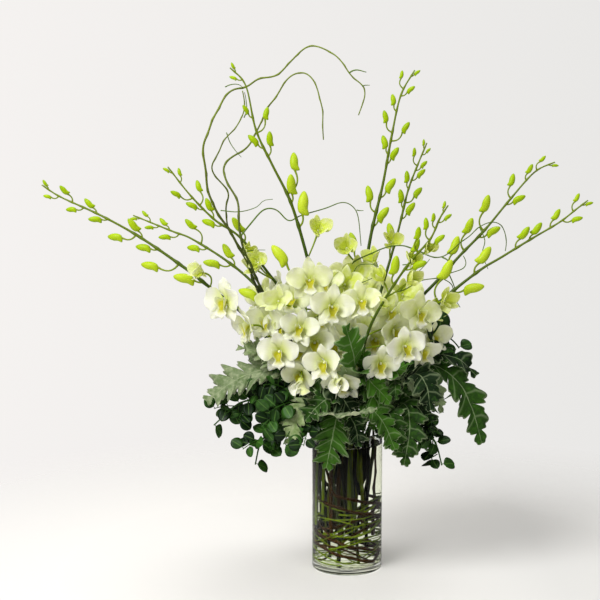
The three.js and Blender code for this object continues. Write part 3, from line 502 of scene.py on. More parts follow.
# More blooms behind and between them.
secondBlooms = named(bloomKeys, [
    (1, [-114, -30, 367], -25, 10, 6, 28, 0.9, 8), (4, [-80, -30, 398], -8, 14, -8, 28, 0.8, 4),
    (4, [-38, -30, 420], 15, 20, 5, 27, 0.8, 4), (4, [-5, -20, 418], -5, 20, -6, 26, 0.6, 4),
    (4, [-46, -50, 375], 25, 0, 9, 28, 1, 4), (4, [-13, -50, 337], -35, -5, -4, 27, 0.9, 4),
    (7, [19, -40, 359], 20, 4, 7, 27, 0.9, 16), (9, [39, -40, 342], -10, -4, -7, 27, 0.85, 12),
    (7, [59, -70, 361], 30, -6, 4, 26, 0.8, 4), (9, [83, -50, 358], -15, 6, -5, 27, 0.9, 4),
    (1, [-90, -40, 364], -40, 0, 8, 27, 0.9, 20), (1, [-73, -50, 330], 10, -8, -6, 26, 0.85, 12),
    (4, [-48, -60, 342], -5, -2, 5, 27, 0.95, 4), (1, [-109, -30, 394], -30, 20, 4, 22, 0.45, 24),
    (9, [118, -30, 381], 10, 14, -8, 24, 0.5, 4), (9, [76, -20, 403], 15, 22, 3, 24, 0.55, 28),
    (7, [15, -70, 316], 15, -16, -4, 25, 0.8, 4), (1, [-68, -92, 296], -10, -40, 0, 24, -0.1, 4),
    (7, [-20, -108, 305], 10, -45, 0, 25, -0.1, 4), (9, [99, -70, 333], 28, -10, 5, 25, 0.85, 4),
    (7, [44, -114, 434], -50, 50, 4, 20, 0.1, 16), (7, [76, -118, 432], 55, 40, -6, 20, 0.2, 18),
    (7, [42, -100, 398], 40, 35, 5, 20, 0.3, 14), (7, [80, -122, 460], 15, 35, 0, 20, 0.15, 14),
    (5, [40, 10, 448], -35, 40, 3, 22, 0.35, 22), (5, [12, 4, 432], 12, 20, -3, 24, 0.6, 24),
    (3, [-134, 22, 438], -20, 25, 5, 22, 0.35, 18), (3, [-146, 28, 458], 15, 35, -6, 20, 0.1, 14),
    (7, [100, -128, 476], 20, 30, 0, 17, 0.1, 10), (2, [-96, 66, 344], 212, 6, 5, 28, 0.95, 52),
    (2, [-34, 96, 340], 186, -4, -7, 27, 0.95, 52), (6, [22, 72, 344], 168, 10, 9, 26, 0.95, 52),
    (6, [72, 96, 336], 150, 2, -6, 29, 0.95, 52), (6, [4, 112, 420], 184, 16, -4, 27, 0.95, 52),
    (2, [-60, 110, 300], 204, -10, -3, 27, 0.95, 52), (6, [48, 110, 300], 160, -8, 7, 26, 0.95, 52),
    (2, [-8, 104, 306], 180, -12, 3, 27, 0.9, 30), (2, [-40, 112, 388], 198, 18, 6, 25, 0.7, 30),
    (6, [52, 116, 374], 168, 14, -5, 26, 0.8, 24), (8, [106, 14, 356], 84, 4, 6, 27, 0.95, 30),
    (8, [88, 44, 398], 104, 10, -5, 26, 0.9, 40), (9, [84, 12, 322], 92, -8, 4, 26, 0.9, 20),
    (2, [-124, 34, 362], -96, 4, 6, 27, 0.95, 30), (3, [-94, 24, 404], -78, 12, -6, 26, 0.85, 40),
    (3, [-88, 46, 326], -104, -6, 3, 26, 0.9, 24), (8, [104, 70, 318], 140, 6, 5, 28, 0.95, 52),
])


# The skin of a fresh stem and of an orchid bud: smooth and waxy, with light in its thin parts. From the
# foliage down into the vase the stems are painted near-black, as painted shade, with olive strands as
# painted light on some. The tint is 0 on a stem, 0.5 or a little more on a side stalk, 1 on a small bud
# and up to 2 on a big pale one.
def freshGreen(add, position, marks):
    along, _, _, tint = marks
    mottle = add("TexNoise", {"Vector": position, "Scale": 1 / (14 * millimetre), "Detail": 4.0})
    streak = add("TexNoise", {"Vector": position, "Scale": 1 / (1.5 * millimetre), "Detail": 3.0})
    drawn = add("Mapping", {"Vector": position, "Scale": (1, 1, 0.06)})
    strand = add("TexNoise", {"Vector": drawn, "Scale": 1 / (11 * millimetre), "Detail": 1.0})
    # Painted light: olive strands stand for lit stems among the near-black painted shade below.
    lit = add("MapRange", [strand, 0.42, 0.62, 0.0, 1.0])
    paintedVaseShade = add("Mix", {0: lit, 6: "#0c1206", 7: "#6c7612"}, 2, data_type="RGBA")
    height = add("SeparateXYZ", [position], 2)
    # Painted shade: the stems darken from 330 mm down and are near-black in the water.
    below = add("MapRange", [height, 0.19, 0.33, 1.0, 0.0])
    young = add("MapRange", [along, 0.05, 0.45, 0.9, 0.0])
    stem = "#264a0c"
    for share, over in ((mottle, "#34460e"), (young, "#7a8e18"), (below, paintedVaseShade)):
        stem = add("Mix", {0: share, 6: stem, 7: over}, 2, data_type="RGBA")
    tip = add("MapRange", [along, 0.7, 1.0, 0.0, 0.5])
    big = add("MapRange", [tint, 1.0, 2.0, 0.0, 1.0])
    bud = "#92b400"
    for share, over in ((mottle, "#b2ce00"), (tip, "#7e9c08"), (big, "#cadc34")):
        bud = add("Mix", {0: share, 6: bud, 7: over}, 2, data_type="RGBA")
    onStalk = add("MapRange", [tint, 0.0, 0.5, 0.0, 1.0])
    onBud = add("MapRange", [tint, 0.5, 1.0, 0.0, 1.0])
    colour = add("Mix", {0: onStalk, 6: stem, 7: "#809414"}, 2, data_type="RGBA")
    return {
        "Base Color": add("Mix", {0: onBud, 6: colour, 7: bud}, 2, data_type="RGBA"),
        "Roughness": add("MapRange", [streak, 0.2, 0.8, 0.34, 0.5]),
        "Normal": add("Bump", {"Strength": 0.05, "Distance": 0.1 * millimetre, "Height": streak}),
        "Subsurface Weight": 0.15,
        "Subsurface Radius": (0.002, 0.003, 0.001),
        "Subsurface Scale": 0.5,
        "Specular IOR Level": add("MapRange", [height, 0.18, 0.19, 0.02, 0.2]),
    }


# A bud on its stalk. Round its axis the radius is length x fullness x sin(pi u^0.88)^0.52, with a blunt
# chin below its base, and the axis hooks up a little towards the tip.
def budShapes(path, distance, reach, length, index):
    at, outward, side, depth = stemFrame(path, distance)
    length = length * budForm["grown"]
    sway = np.sin(2.4 * index)
    out = np.sign(reach) * side
    up, away, aside = budForm["heading"]
    axis = unit(up * outward + away * out + aside * sway * depth)
    low = unit(np.cross(axis, np.cross(up * out - away * outward, axis)))
    level = np.cross(low, axis)
    middle = at + reach * side + 0.45 * sway * abs(reach) * depth
    base = middle - axis * length / 2
    u = (1 - np.cos(np.pi * np.linspace(0.04, 0.97, budForm["rows"])[:, None])) / 2
    v = np.linspace(0, 2 * np.pi, budForm["columns"], endpoint=False)[None, :]
    radius = length * budForm["fullness"] * np.sin(np.pi * u**0.88) ** 0.52
    chin = np.exp(-(((u - 0.12) / 0.13) ** 2)) * np.maximum(0, np.cos(v)) ** 1.6 * length
    outwards = radius * np.cos(v) + budForm["chin"] * chin - budForm["hook"] * length * u**2
    lengthwise = u * length - budForm["chinBack"] * chin
    rings = base + lengthwise[..., None] * axis + outwards[..., None] * low
    rings = rings + (radius * np.sin(v) * 0.92)[..., None] * level
    small, big = budForm["pale"]
    tint = 1 + np.clip((length - small) / (big - small), 0, 1)
    start = pointsAt(path, distance + 0.5 * length + 0.8 * abs(reach))
    end = base + axis * length * 0.1
    gap = np.linalg.norm(end - start)
    line = bowed(start, end - axis * gap * 0.6 + low * gap * 0.45, end, 11)
    girth = budForm["stalk"] * (1 + 0.45 * np.linspace(-1, 1, 11) ** 2) * (0.6 + length / 50)
    return [lofted(rings, u, np.cos(v), 0, tint), tube(line, girth, 7, tint=0.5)]


# A bloom's middle, the way that it faces, and its right and its crown, rolled about that way.
def bloomFrame(bloom):
    turn, rise, roll = np.radians([bloom["faces"], bloom["up"], bloom["roll"]])
    front = unit(np.array([np.sin(turn), -np.cos(turn), np.tan(rise)]))
    level = unit(np.cross([0, 0, 1], front))
    right = level * np.cos(roll) + np.cross(front, level) * np.sin(roll)
    return np.array(bloom["at"], float), front, right, np.cross(front, right)


stalkForm = {"girth": 1.15, "flare": 0.35, "rows": 12}


# A bloom's stalk: from the stem below it, curving up and into the bloom's back.
def bloomStalk(path, bloom):
    middle, front, _, crown = bloomFrame(bloom)
    start = path[np.argmax(path[:, 2] <= bloom["at"][2] - bloom["drop"])]
    end = middle - front * 1.5
    gap = np.linalg.norm(end - start)
    line = bowed(start, end - front * gap * 0.5, end, stalkForm["rows"])
    girth = stalkForm["girth"] * (1 + stalkForm["flare"] * np.linspace(0, 1, stalkForm["rows"]) ** 2)
    return tube(line, girth, 8, tint=0.62)


# A spray: its stem, swelled where stalks leave it, its buds, and the stalks of its blooms.
def makeSpray(number, spray, material):
    path = stemPath(spray["route"], spray["place"])
    own = [bloom for bloom in blooms + secondBlooms if bloom["spray"] == number]
    knots = [distance + 0.5 * length + 0.8 * abs(reach) for distance, reach, length in spray["buds"]]
    shapes = [tube(path, stemRadius(path, sprayStem, knots), 10)]
    for index, bud in enumerate(spray["buds"]):
        shapes += budShapes(path, *bud, index)
    shapes += [bloomStalk(path, bloom) for bloom in own]
    makePiece(f"orchid_spray_{number}", shapes, material)


sprayGreen = makeMaterial("freshStemAndBud", freshGreen)
for number, spray in enumerate(sprays, 1):
    makeSpray(number, spray, sprayGreen)
print("orchid sprays:", len(sprays))

# Orchid blooms. A tepal is the way it points round the face, its length and width against the petals'
# length, its place along the facing direction, the power that moves its widest place, its cup, and the
# power that makes it pointed or full.
tepals = named(["turn", "length", "width", "layer", "widest", "cup", "power"], [
    (90, 1, 0.56, -0.8, 0.85, -0.05, 0.62),
    (232, 0.98, 0.56, -0.6, 0.8, -0.05, 0.65),
    (308, 0.98, 0.56, -0.6, 0.8, -0.05, 0.65),
    (14, 1, 0.92, 1.6, 1.12, 0.22, 0.56),
    (166, 1, 0.92, 1.6, 1.12, 0.22, 0.56),
])
tepalForm = {
    "rows": 22,
    "columns": 20,
    "thickness": 0.9,
    "ruffle": 0.06,
    "keel": 0.03,  # the depth of the fold along the midrib
    "slimmest": 0.74,
    "grown": 1.22,
    "twist": 0.4,
}
lipForm = {"length": 1.02, "lean": 20, "bend": 88, "sideLobe": 0.42, "frontLobe": 0.34, "ruffle": 0.07}
columnForm = {"length": 0.24, "radius": 0.055, "spur": 0.36, "spurRadius": 0.13}


# A dendrobium's tepals: white wax over a soft flesh, so that light goes through them, with fine veins, a
# green flush at the heart, and more green in a half-open bloom. The flush at the heart is partly the bloom's
# own green and partly painted shade, as it reaches far out, and the yellow-green on the back faces is
# painted shade. The lip's throat is gold. The tint is the green's share on tepals, and 2 more on the lip.
def orchidPetal(add, position, marks):
    along, across, side, tint = marks
    cloud = add("TexNoise", {"Vector": position, "Scale": 1 / (9 * millimetre), "Detail": 3.0})
    fine = add("TexNoise", {"Vector": position, "Scale": 1 / (0.5 * millimetre), "Detail": 2.0})
    spread = add("Math", [across, 26.0], operation="MULTIPLY")
    comb = add("Math", [spread], operation="SINE")
    vein = add("MapRange", [comb, 0.5, 1.0, 0.0, 0.12])
    green = add("Math", [tint, 2.0], operation="MODULO")
    opening = add("Math", [green, cloud], operation="MULTIPLY")
    opening = add("MapRange", [opening, 0.02, 0.5, 0.0, 0.95])
    paling = add("MapRange", [along, 0.4, 1.0, 1.0, 0.6])
    greenFlushAndShade = add("Math", [opening, paling], operation="MULTIPLY")
    # Partly painted shade: the green at the heart reaches two thirds of the way out along each tepal.
    heart = add("MapRange", [along, 0.08, 0.68, 0.88, 0.0])
    # Painted shade: the back faces are flushed yellow-green.
    outside = add("MapRange", [side, -0.8, 0.0, 0.5, 0.0])
    for other in (heart, outside):
        greenFlushAndShade = add("Math", [greenFlushAndShade, other], operation="MAXIMUM")
    inward = add("Math", [across], operation="ABSOLUTE")
    narrow = add("MapRange", [inward, 0.5, 0.95, 1.0, 0.0])
    onLip = add("Math", [tint, 1.5], operation="GREATER_THAN")
    throat = add("MapRange", [along, 0.56, 0.8, 1.0, 0.0])
    for other in (narrow, onLip):
        throat = add("Math", [throat, other], operation="MULTIPLY")
    colour = "#f6f7dc"
    for share, over in ((greenFlushAndShade, "#c8d81e"), (vein, "#dde2b8"), (throat, "#b4b012")):
        colour = add("Mix", {0: share, 6: colour, 7: over}, 2, data_type="RGBA")
    relief = {"Strength": 0.12, "Distance": 0.1 * millimetre}
    normal = add("Bump", {**relief, "Height": fine})
    return {
        "Base Color": colour,
        "Roughness": 0.48,
        "Normal": add("Bump", {**relief, "Height": comb, "Normal": normal}),
        "Subsurface Weight": 0.5,
        "Subsurface Radius": (0.006, 0.006, 0.004),
        "Subsurface Scale": 0.6,
        "Specular IOR Level": 0.35,
    }


# The green in a bloom: more where it is less open, and more higher up, where the blooms are younger. A
# closed one that hangs low has lost its green.
def greenShare(bloom):
    if bloom["open"] < 0:
        return 0.1
    height = bloom["at"][2] + 0.3 * bloom["at"][0]
    return min(1.3, 0.95 - 0.9 * bloom["open"] + 0.5 * float(np.clip((height - 365) / 60, 0, 1)))


# How far out and how far forward the points of a midrib lie that leans out from the facing direction, by
# an angle that grows evenly from lean by bend.
def leaning(u, length, lean, bend):
    angle = lean + bend * u
    out = length * (np.cos(lean) - np.cos(angle)) / bend
    return out, length * (np.sin(angle) - np.sin(lean)) / bend


# A tepal. Its bend is negative in a half-open bloom, so that it cups. The blade twists a little on its way.
# Its half width is a half wave to a power, drawn in at its root, and its margin ruffles.
def tepalShape(bloom, tepal, index):
    middle, front, right, crown = bloomFrame(bloom)
    size, isOpen = bloom["size"] * tepalForm["grown"], bloom["open"]
    u, w, side = bladeGrid(tepalForm["rows"], tepalForm["columns"])
    turn = np.radians(tepal["turn"] + 5 * np.sin(5.3 * index + bloom["at"][2]))
    out = right * np.cos(turn) + crown * np.sin(turn)
    tangent = crown * np.cos(turn) - right * np.sin(turn)
    vary = np.sin(np.array([3.1, 4.7, 6.3]) * index + bloom["at"][0])
    lean = np.radians(34 + 26 * isOpen + 6 * vary[0])
    bend = np.radians(-34 + 60 * isOpen + 5 * vary[1])
    length = size * tepal["length"] * (1 + 0.06 * vary[2])
    radial, forward = leaning(u, length, lean, bend)
    midrib = middle + radial * out + (tepal["layer"] + forward) * front
    slim = tepalForm["slimmest"] + (1 - tepalForm["slimmest"]) * isOpen
    claw = np.minimum(1, 0.2 + u / 0.55)
    half = size * slim * tepal["width"] * np.sin(np.pi * u ** tepal["widest"]) ** tepal["power"] * claw / 2
    phase = 1.7 * index + bloom["at"][0]
    ruffle = np.sin(9 * u + phase + 1.5 * np.sign(w)) + 0.5 * np.sin(17 * u + 2 * phase)
    ruffle = tepalForm["ruffle"] * size * ruffle * np.sqrt(u) * max(0, isOpen) ** 2
    keel = tepalForm["keel"] * size * np.exp(-((w / 0.12) ** 2)) * np.sin(np.pi * u)
    lift = (tepal["cup"] * half + ruffle) * w**2 - keel + side * tepalForm["thickness"] / 2
    face = front + tepalForm["twist"] * vary[1] * u * tangent
    return blade(midrib, face, w * half, lift, (u, w, side, greenShare(bloom)))


# The lip: a trough whose two side lobes stand up round the heart, and a front lobe that bends down.
def lipShape(bloom, index):
    middle, front, _, crown = bloomFrame(bloom)
    size = bloom["size"]
    u, w, side = bladeGrid(24, 20)
    lean, bend = np.radians([lipForm["lean"], lipForm["bend"]])
    length = size * lipForm["length"]
    radial, forward = leaning(u, length, lean, bend)
    midrib = middle - radial * crown + (1 + forward) * front
    sides = lipForm["sideLobe"] * np.exp(-(((u - 0.3) / 0.2) ** 2))
    fronts = lipForm["frontLobe"] * np.exp(-(((u - 0.74) / 0.17) ** 2))
    half = size * (sides + fronts) * np.minimum(1, (1 - u) / 0.08) ** 0.5
    cup = 1.15 - 1.0 * np.clip((u - 0.3) / 0.35, 0, 1)
    edge = lipForm["ruffle"] * size * np.sin(24 * u + index) * np.clip((u - 0.5) / 0.3, 0, 1) * w**2
    ridge = 0.05 * size * np.exp(-((w / 0.25) ** 2)) * np.exp(-(((u - 0.38) / 0.2) ** 2))
    lift = cup * w**2 * half + edge + ridge + side * tepalForm["thickness"] / 2
    place = w * half * (1 - 0.35 * cup * w**2)
    return blade(midrib, front, place, lift, (u, w, side, 2.0))


# The column in the heart, with its cap bent forward, and the spur that stands back below the bloom.
def heartShapes(bloom):
    middle, front, _, crown = bloomFrame(bloom)
    size = bloom["size"]
    reach, radius = columnForm["length"] * size, columnForm["radius"] * size
    end = middle + front * reach - crown * reach * 0.15
    column = bowed(middle - front, middle + front * reach * 0.6 + crown * reach * 0.25, end, 9)
    swell = np.array([0.8, 0.85, 0.9, 0.95, 1.0, 1.15, 1.3, 1.15, 0.35])
    spurEnd = middle - front * columnForm["spur"] * size * 0.75 - crown * columnForm["spur"] * size * 0.6
    spur = bowed(middle + front * 2, middle - crown * size * 0.16, spurEnd, 11)
    taper = np.array([0.9, 1.15, 1.2, 1.1, 0.95, 0.8, 0.7, 0.62, 0.55, 0.42, 0.14])
    tint = 1 - bloom["open"]
    return [
        tube(column, radius * swell, 10, tint=0.35),
        tube(spur, columnForm["spurRadius"] * size * taper, 12, tint=0.3 + 0.5 * tint),
    ]


# A bloom: its five tepals, the column and the spur, and a lip where it is open enough to show one.
def makeBloom(name, number, bloom, material, finishOf=None):
    shapes = [tepalShape(bloom, tepal, number + 5 * k) for k, tepal in enumerate(tepals)]
    shapes += heartShapes(bloom)
    if bloom["open"] > 0.6:
        shapes.append(lipShape(bloom, number))
    makePiece(name, shapes, material, finishOf)


petalWhite = makeMaterial("waxyWhitePetal", orchidPetal)
for number, bloom in enumerate(blooms, 1):
    makeBloom(f"orchid_bloom_{number}", number, bloom, petalWhite)
for number, bloom in enumerate(secondBlooms, 1):
    makeBloom(f"second_bloom_{number}", number + 40, bloom, petalWhite, "orchid_bloom_1")
print("orchid blooms:", len(blooms) + len(secondBlooms))


# Curly willow: its route, its part in the vase, its twigs and its fine shoots, as points.
willowStem = {"tip": 0.8, "foot": 2.1, "growth": 650, "knot": 0.25, "knotReach": 4, "pitch": 24, "kink": 0.9}
youngWillow = {"green": 0.8, "greenAbove": 300, "slimmer": 0.3, "slimAbove": 330}
willowTwig = {"root": 1.2, "tip": 0.6}
willowShoot = {"root": 0.85, "tip": 0.45, "rows": 16}
coil = {"top": 118, "foot": 14}
each = {"coils": 4, "cutStems": 2}  # how many of them are joined to each branch

# More cut stems in the vase: where each stands in the mouth and at its foot, its girth and its tint.
cutStems = [
    ([-36, -14, 204], [-41, -12, 66], 2.4, 0.9), ([-34, 6, 205], [-38, 12, 52], 2.6, 0.0),
    ([-27, -26, 203], [-33, -24, 84], 2.2, 1.0), ([-20, -31, 204], [-22, -33, 60], 2.7, 0.0),
    ([-12, -26, 204], [-27, -18, 40], 2.4, 0.5), ([-24, 18, 205], [-30, 22, 58], 2.8, 0.1),
    ([-4, -20, 204], [-14, -26, 72], 3.0, 0.0), ([6, -24, 204], [2, -30, 92], 2.6, 0.6),
    ([8, -10, 205], [0, -14, 54], 3.0, 0.0), ([14, -22, 204], [18, -18, 118], 2.4, 0.9),
]

# Thin shoots round the vase's foot: starting angle, top, foot, tilt, the side that is high, radius, turns
# and girth.
coils = [
    (150, 74, 22, 17, 10, 44.5, 1.3, 1.4), (200, 62, 20, 12, -30, 43, -1.3, 1.2),
    (110, 92, 34, 22, 20, 45, 1.2, 1.0), (300, 84, 26, 14, 200, 41, 1.2, 1.8),
    (60, 44, 18, 8, 0, 38, -1.5, 1.1), (250, 104, 46, 26, 30, 44.5, 0.8, 1.5),
    (150, 84, 30, 24, -10, 42, -0.9, 2.2), (330, 60, 20, 12, 150, 40, 1.1, 1.3),
    (30, 54, 16, 10, 40, 45, 1.4, 0.9), (220, 96, 40, 20, -20, 45.5, -0.9, 0.9),
    (0, 40, 15, 6, 60, 43, 1.2, 1.5), (170, 66, 30, 16, 15, 39, 1.3, 0.8),
    (280, 76, 34, 18, 170, 44, -1.1, 1.0), (90, 50, 20, 10, -40, 45, 1.1, 1.2),
    (130, 112, 60, 24, 10, 43.5, 0.7, 1.2), (10, 88, 40, 15, 35, 38, -1.0, 1.9),
    (240, 70, 28, 20, 5, 45, 0.8, 0.7), (310, 46, 16, 9, 220, 41, 1.3, 2.0),
    (200, 120, 70, 22, 25, 42, 0.6, 1.0), (60, 100, 52, 18, -15, 44.5, -0.7, 0.8),
]
willows = [
    {
        "route": [
            [14, -18, 658], [22, -16, 682], [19, -15, 699], [0, -12, 717], [-20, -8, 743], [-49, 0, 755],
            [-69, 5, 748], [-86, 10, 729], [-105, 12, 714], [-129, 10, 709], [-144, 8, 699],
            [-165, 4, 694], [-182, -2, 673], [-198, -6, 638], [-206, -6, 616], [-204, -4, 587],
            [-202, 0, 562], [-195, 4, 534], [-184, 6, 515], [-167, 8, 488], [-145, 10, 448],
            [-124, 12, 393], [-69, 15, 297],
        ],
        "place": ringPlace(willowRing, 13),
        "lead": -20,
        "radius": 41.5,
        "turns": 1.5,
        "shoots": [
            [[-175, 0, 698], [-168, 0, 701], [-159, 0, 702], [-153, 0, 700], [-149, 0, 696]],
            [[-183, 8, 523], [-157, 8, 521], [-133, 8, 527], [-121, 8, 537], [-108, 8, 539]],
            [[18, -16, 699], [23, -16, 700], [29, -16, 700]],
        ],
        "twigs": [[[0, -12, 717], [8, -14, 722], [24, -16, 718]]],
    },
    {
        "route": [
            [-152, 18, 693], [-149, 16, 676], [-152, 14, 654], [-177, 10, 623], [-182, 12, 612],
            [-194, 14, 592], [-195, 16, 579], [-172, 20, 547], [-176, 22, 527], [-174, 24, 500],
            [-155, 26, 465], [-139, 28, 438], [-116, 30, 384], [-66, 32, 302],
        ],
        "place": ringPlace(willowRing, 11),
        "lead": -15,
        "radius": 34,
        "turns": -1.4,
        "shoots": [
            [[-149, 16, 655], [-145, 14, 666], [-146, 12, 681], [-148, 12, 691]],
            [[-174, 12, 634], [-169, 10, 620], [-161, 10, 608], [-153, 10, 599]],
        ],
        "twigs": [],
    },
    {
        "route": [
            [-35, -14, 624], [-39, -12, 675], [-48, -8, 702], [-58, -4, 716], [-69, 0, 719],
            [-83, 4, 713], [-97, 8, 694], [-112, 12, 673], [-122, 18, 656], [-135, 26, 627],
            [-145, 28, 613], [-167, 26, 599], [-178, 20, 586], [-178, 10, 573], [-164, 0, 548],
            [-156, -10, 528], [-154, -20, 487], [-140, -24, 449], [-128, -26, 423], [-108, -22, 377],
            [-60, -8, 293],
        ],
        "place": ringPlace(willowRing, 15),
        "lead": 40,
        "radius": 41.5,
        "turns": 1.5,
        "shoots": [
            [[12, 4, 524], [16, 4, 523], [22, 4, 523]],
            [[-143, -18, 467], [-131, 8, 466], [-119, 8, 466]],
        ],
        "twigs": [
            [
                [-154, -20, 487], [-138, -22, 507], [-120, -20, 526], [-102, -14, 525], [-85, -16, 509],
                [-69, -18, 517], [-33, -10, 527], [-10, 0, 535], [4, 4, 531], [14, 6, 516], [19, 8, 472],
            ],
        ],
    },
    {
        "route": [
            [230, 24, 463], [231, 22, 481], [221, 18, 501], [206, 12, 507], [189, 6, 499], [172, 0, 485],
            [161, -4, 480], [148, -10, 466], [133, -16, 458], [111, -20, 461], [93, -20, 470],
            [79, -18, 475], [56, -16, 472], [40, -14, 467], [20, -10, 457], [2, -4, 444], [-4, 0, 425],
            [8, 0, 403], [22, 4, 348], [26, 18, 274],
        ],
        "place": ringPlace(willowRing, 5),
        "turns": 0,
        "shoots": [
            [
                [2, -6, 416], [6, -14, 427], [8, -16, 437], [14, -16, 446], [27, -16, 448],
                [37, -16, 447], [48, -16, 442],
            ],
            [[-4, 0, 416], [-8, -10, 410], [-12, -12, 404]],
            [[77, -18, 447], [94, -16, 447], [95, -16, 430], [100, -16, 418], [104, -16, 405]],
            [[189, 6, 499], [196, 0, 480], [192, -6, 462], [200, -8, 440]],
        ],
        "twigs": [[[133, -16, 458], [144, -20, 452], [141, -22, 440], [150, -24, 418], [154, -24, 400]]],
    },
    {
        "route": [
            [162, -22, 460], [167, -24, 447], [151, -26, 438], [129, -30, 431], [103, -34, 426],
            [86, -38, 418], [72, -40, 412], [51, -38, 402], [42, -34, 356], [30, -28, 283],
        ],
        "place": ringPlace(willowRing, 0),
        "turns": 0,
        "shoots": [
            [[10, -30, 404], [14, -18, 418], [28, -16, 425], [46, -16, 433]],
            [[129, -30, 431], [146, -30, 420], [150, -32, 402], [158, -34, 388]],
            [[72, -40, 412], [88, -44, 430], [106, -46, 449], [113, -46, 458]],
        ],
        "twigs": [],
    },
]


# Young bark of curly willow: olive green at the tips and nearly black-green lower down, with small pale
# breathing pores and a soft sheen. From 240 mm down into the vase it is painted a near-black brown, as
# painted shade of the crowded vase.
def youngBark(add, position, marks):
    tint = marks[3]
    mottle = add("TexNoise", {"Vector": position, "Scale": 1 / (9 * millimetre), "Detail": 4.0})
    pores = add("TexVoronoi", {"Vector": position, "Scale": 1 / (4 * millimetre)}, "Distance")
    height = add("SeparateXYZ", [position], 2)
    upper = add("MapRange", [height, 0.4, 0.66, 0.0, 1.0])
    patchy = add("MapRange", [mottle, 0.4, 0.75, 0.0, 0.45])
    # Painted shade: the bark turns near-black brown from 240 mm down into the water.
    belowMouth = add("MapRange", [height, 0.15, 0.24, 1.0, 0.0])
    paintedVaseShade = add("Mix", {0: patchy, 6: "#34200a", 7: "#140a04"}, 2, data_type="RGBA")
    young = add("Mix", {0: belowMouth, 6: "#5c7a1c", 7: "#64780f"}, 2, data_type="RGBA")
    dry = add("MapRange", [height, 0.18, 0.19, 0.0, 1.0])
    spot = add("MapRange", [pores, 0.12, 0.2, 0.6, 0.0])
    spot = add("Math", [spot, dry], operation="MULTIPLY")
    layers = (upper, "#7c8e1e"), (patchy, "#34380f"), (belowMouth, paintedVaseShade), (tint, young), (spot, "#a39a66")
    colour = "#1c280a"
    for share, over in layers:
        colour = add("Mix", {0: share, 6: colour, 7: over}, 2, data_type="RGBA")
    return {
        "Base Color": colour,
        "Roughness": add("MapRange", [mottle, 0.2, 0.8, 0.42, 0.65]),
        "Normal": add("Bump", {"Strength": 0.5, "Distance": 0.3 * millimetre, "Height": mottle}),
        "Specular IOR Level": add("MapRange", [dry, 0.0, 1.0, 0.02, 0.3]),
    }


# The willow in the vase: from the mouth down along the glass, and then in rings round the foot.
def willowInVase(branch):
    start = np.arctan2(branch["place"][1], branch["place"][0]) + np.radians(branch["lead"])
    share = np.linspace(0, 1, 90)
    angle = start + 2 * np.pi * branch["turns"] * share
    z = coil["top"] + (coil["foot"] - coil["top"]) * share
    return roundAxis(branch["radius"], angle, z)


# A thin shoot that lies round the foot of the vase in tilted rings: z follows the angle's cosine. It wavers
# up and down, and inwards from the glass.
def tiltedCoil(start, top, foot, tilt, high, radius, turns, girth):
    t = np.linspace(0, 1, int(60 * abs(turns)))
    angle = np.radians(start + 360 * turns * t)
    z = top + (foot - top) * t + tilt * np.cos(angle - np.radians(high))
    z = np.maximum(z + 5 * np.sin(2.3 * angle + start), vase["floor"] + 2 + girth)
    reach = radius * (0.9 + 0.1 * np.sin(1.7 * angle + top))
    line = roundAxis(reach, angle, z)
    return tube(softened(line, 3), girth * (1 - 0.4 * t), 8, tint=1.0 if girth < 1.7 else 0.0)


# A cut stem from the mouth down into the water, bowed a little to the left.
def cutStem(top, foot, girth, tint):
    middle = (np.array(top) + foot) / 2 - [2, 0, 0]
    return tube(curveThrough([top, middle, foot]), girth, 10, tint=tint)


# A branch: the stem zigzags from knot to knot, and twigs, coils, cut stems and shoots go with it.
def makeWillow(number, branch, material):
    path = stemPath(branch["route"], branch["place"], willowInVase(branch) if branch["turns"] else None)
    reach = lengthsAlong(path)
    knots = np.arange(14, reach[-1], willowStem["pitch"])
    knots = knots + 5 * np.sin(knots)
    turns = np.interp(reach, knots, willowStem["kink"] * (-1.0) ** np.arange(len(knots)))
    line = path + turns[:, None] * unit(np.cross(np.gradient(path, axis=0), [0.1, 1, 0.2]))
    green = 0.0 if branch["turns"] else youngWillow["green"]
    slimmer = youngWillow["slimmer"] * green * (path[:, 2] > youngWillow["slimAbove"])
    girth = stemRadius(path, willowStem, knots) * (1 - slimmer)
    tint = green * (path[:, 2] > youngWillow["greenAbove"])
    shapes = [tube(line, girth, 10, tint=tint[:, None])]
    for twig in branch["twigs"]:
        curve = evened(curveThrough(twig), 3)
        girth = np.linspace(willowTwig["root"], willowTwig["tip"], len(curve))
        shapes.append(tube(curve, girth, 8, tint=1.0))
    first = each["coils"] * (number - 1)
    shapes += [tiltedCoil(*one) for one in coils[first : first + each["coils"]]]
    first = each["cutStems"] * (number - 1)
    shapes += [cutStem(*one) for one in cutStems[first : first + each["cutStems"]]]
    rows = willowShoot["rows"]
    girth = np.linspace(willowShoot["root"], willowShoot["tip"], rows)
    for shoot in branch["shoots"]:
        shapes.append(tube(respaced(curveThrough(shoot), rows), girth, 6, tint=1.0))
    makePiece(f"curly_willow_{number}", shapes, material)


willowBark = makeMaterial("youngWillowBark", youngBark)
for number, branch in enumerate(willows, 1):
    makeWillow(number, branch, willowBark)
print("curly willow branches:", len(willows))


# A dusty miller leaf: its width, the points of its midrib, and what is its own.
def lobedLeaf(width, *rib, **own):
    return {"width": width, "rib": np.array(rib, float), **own}


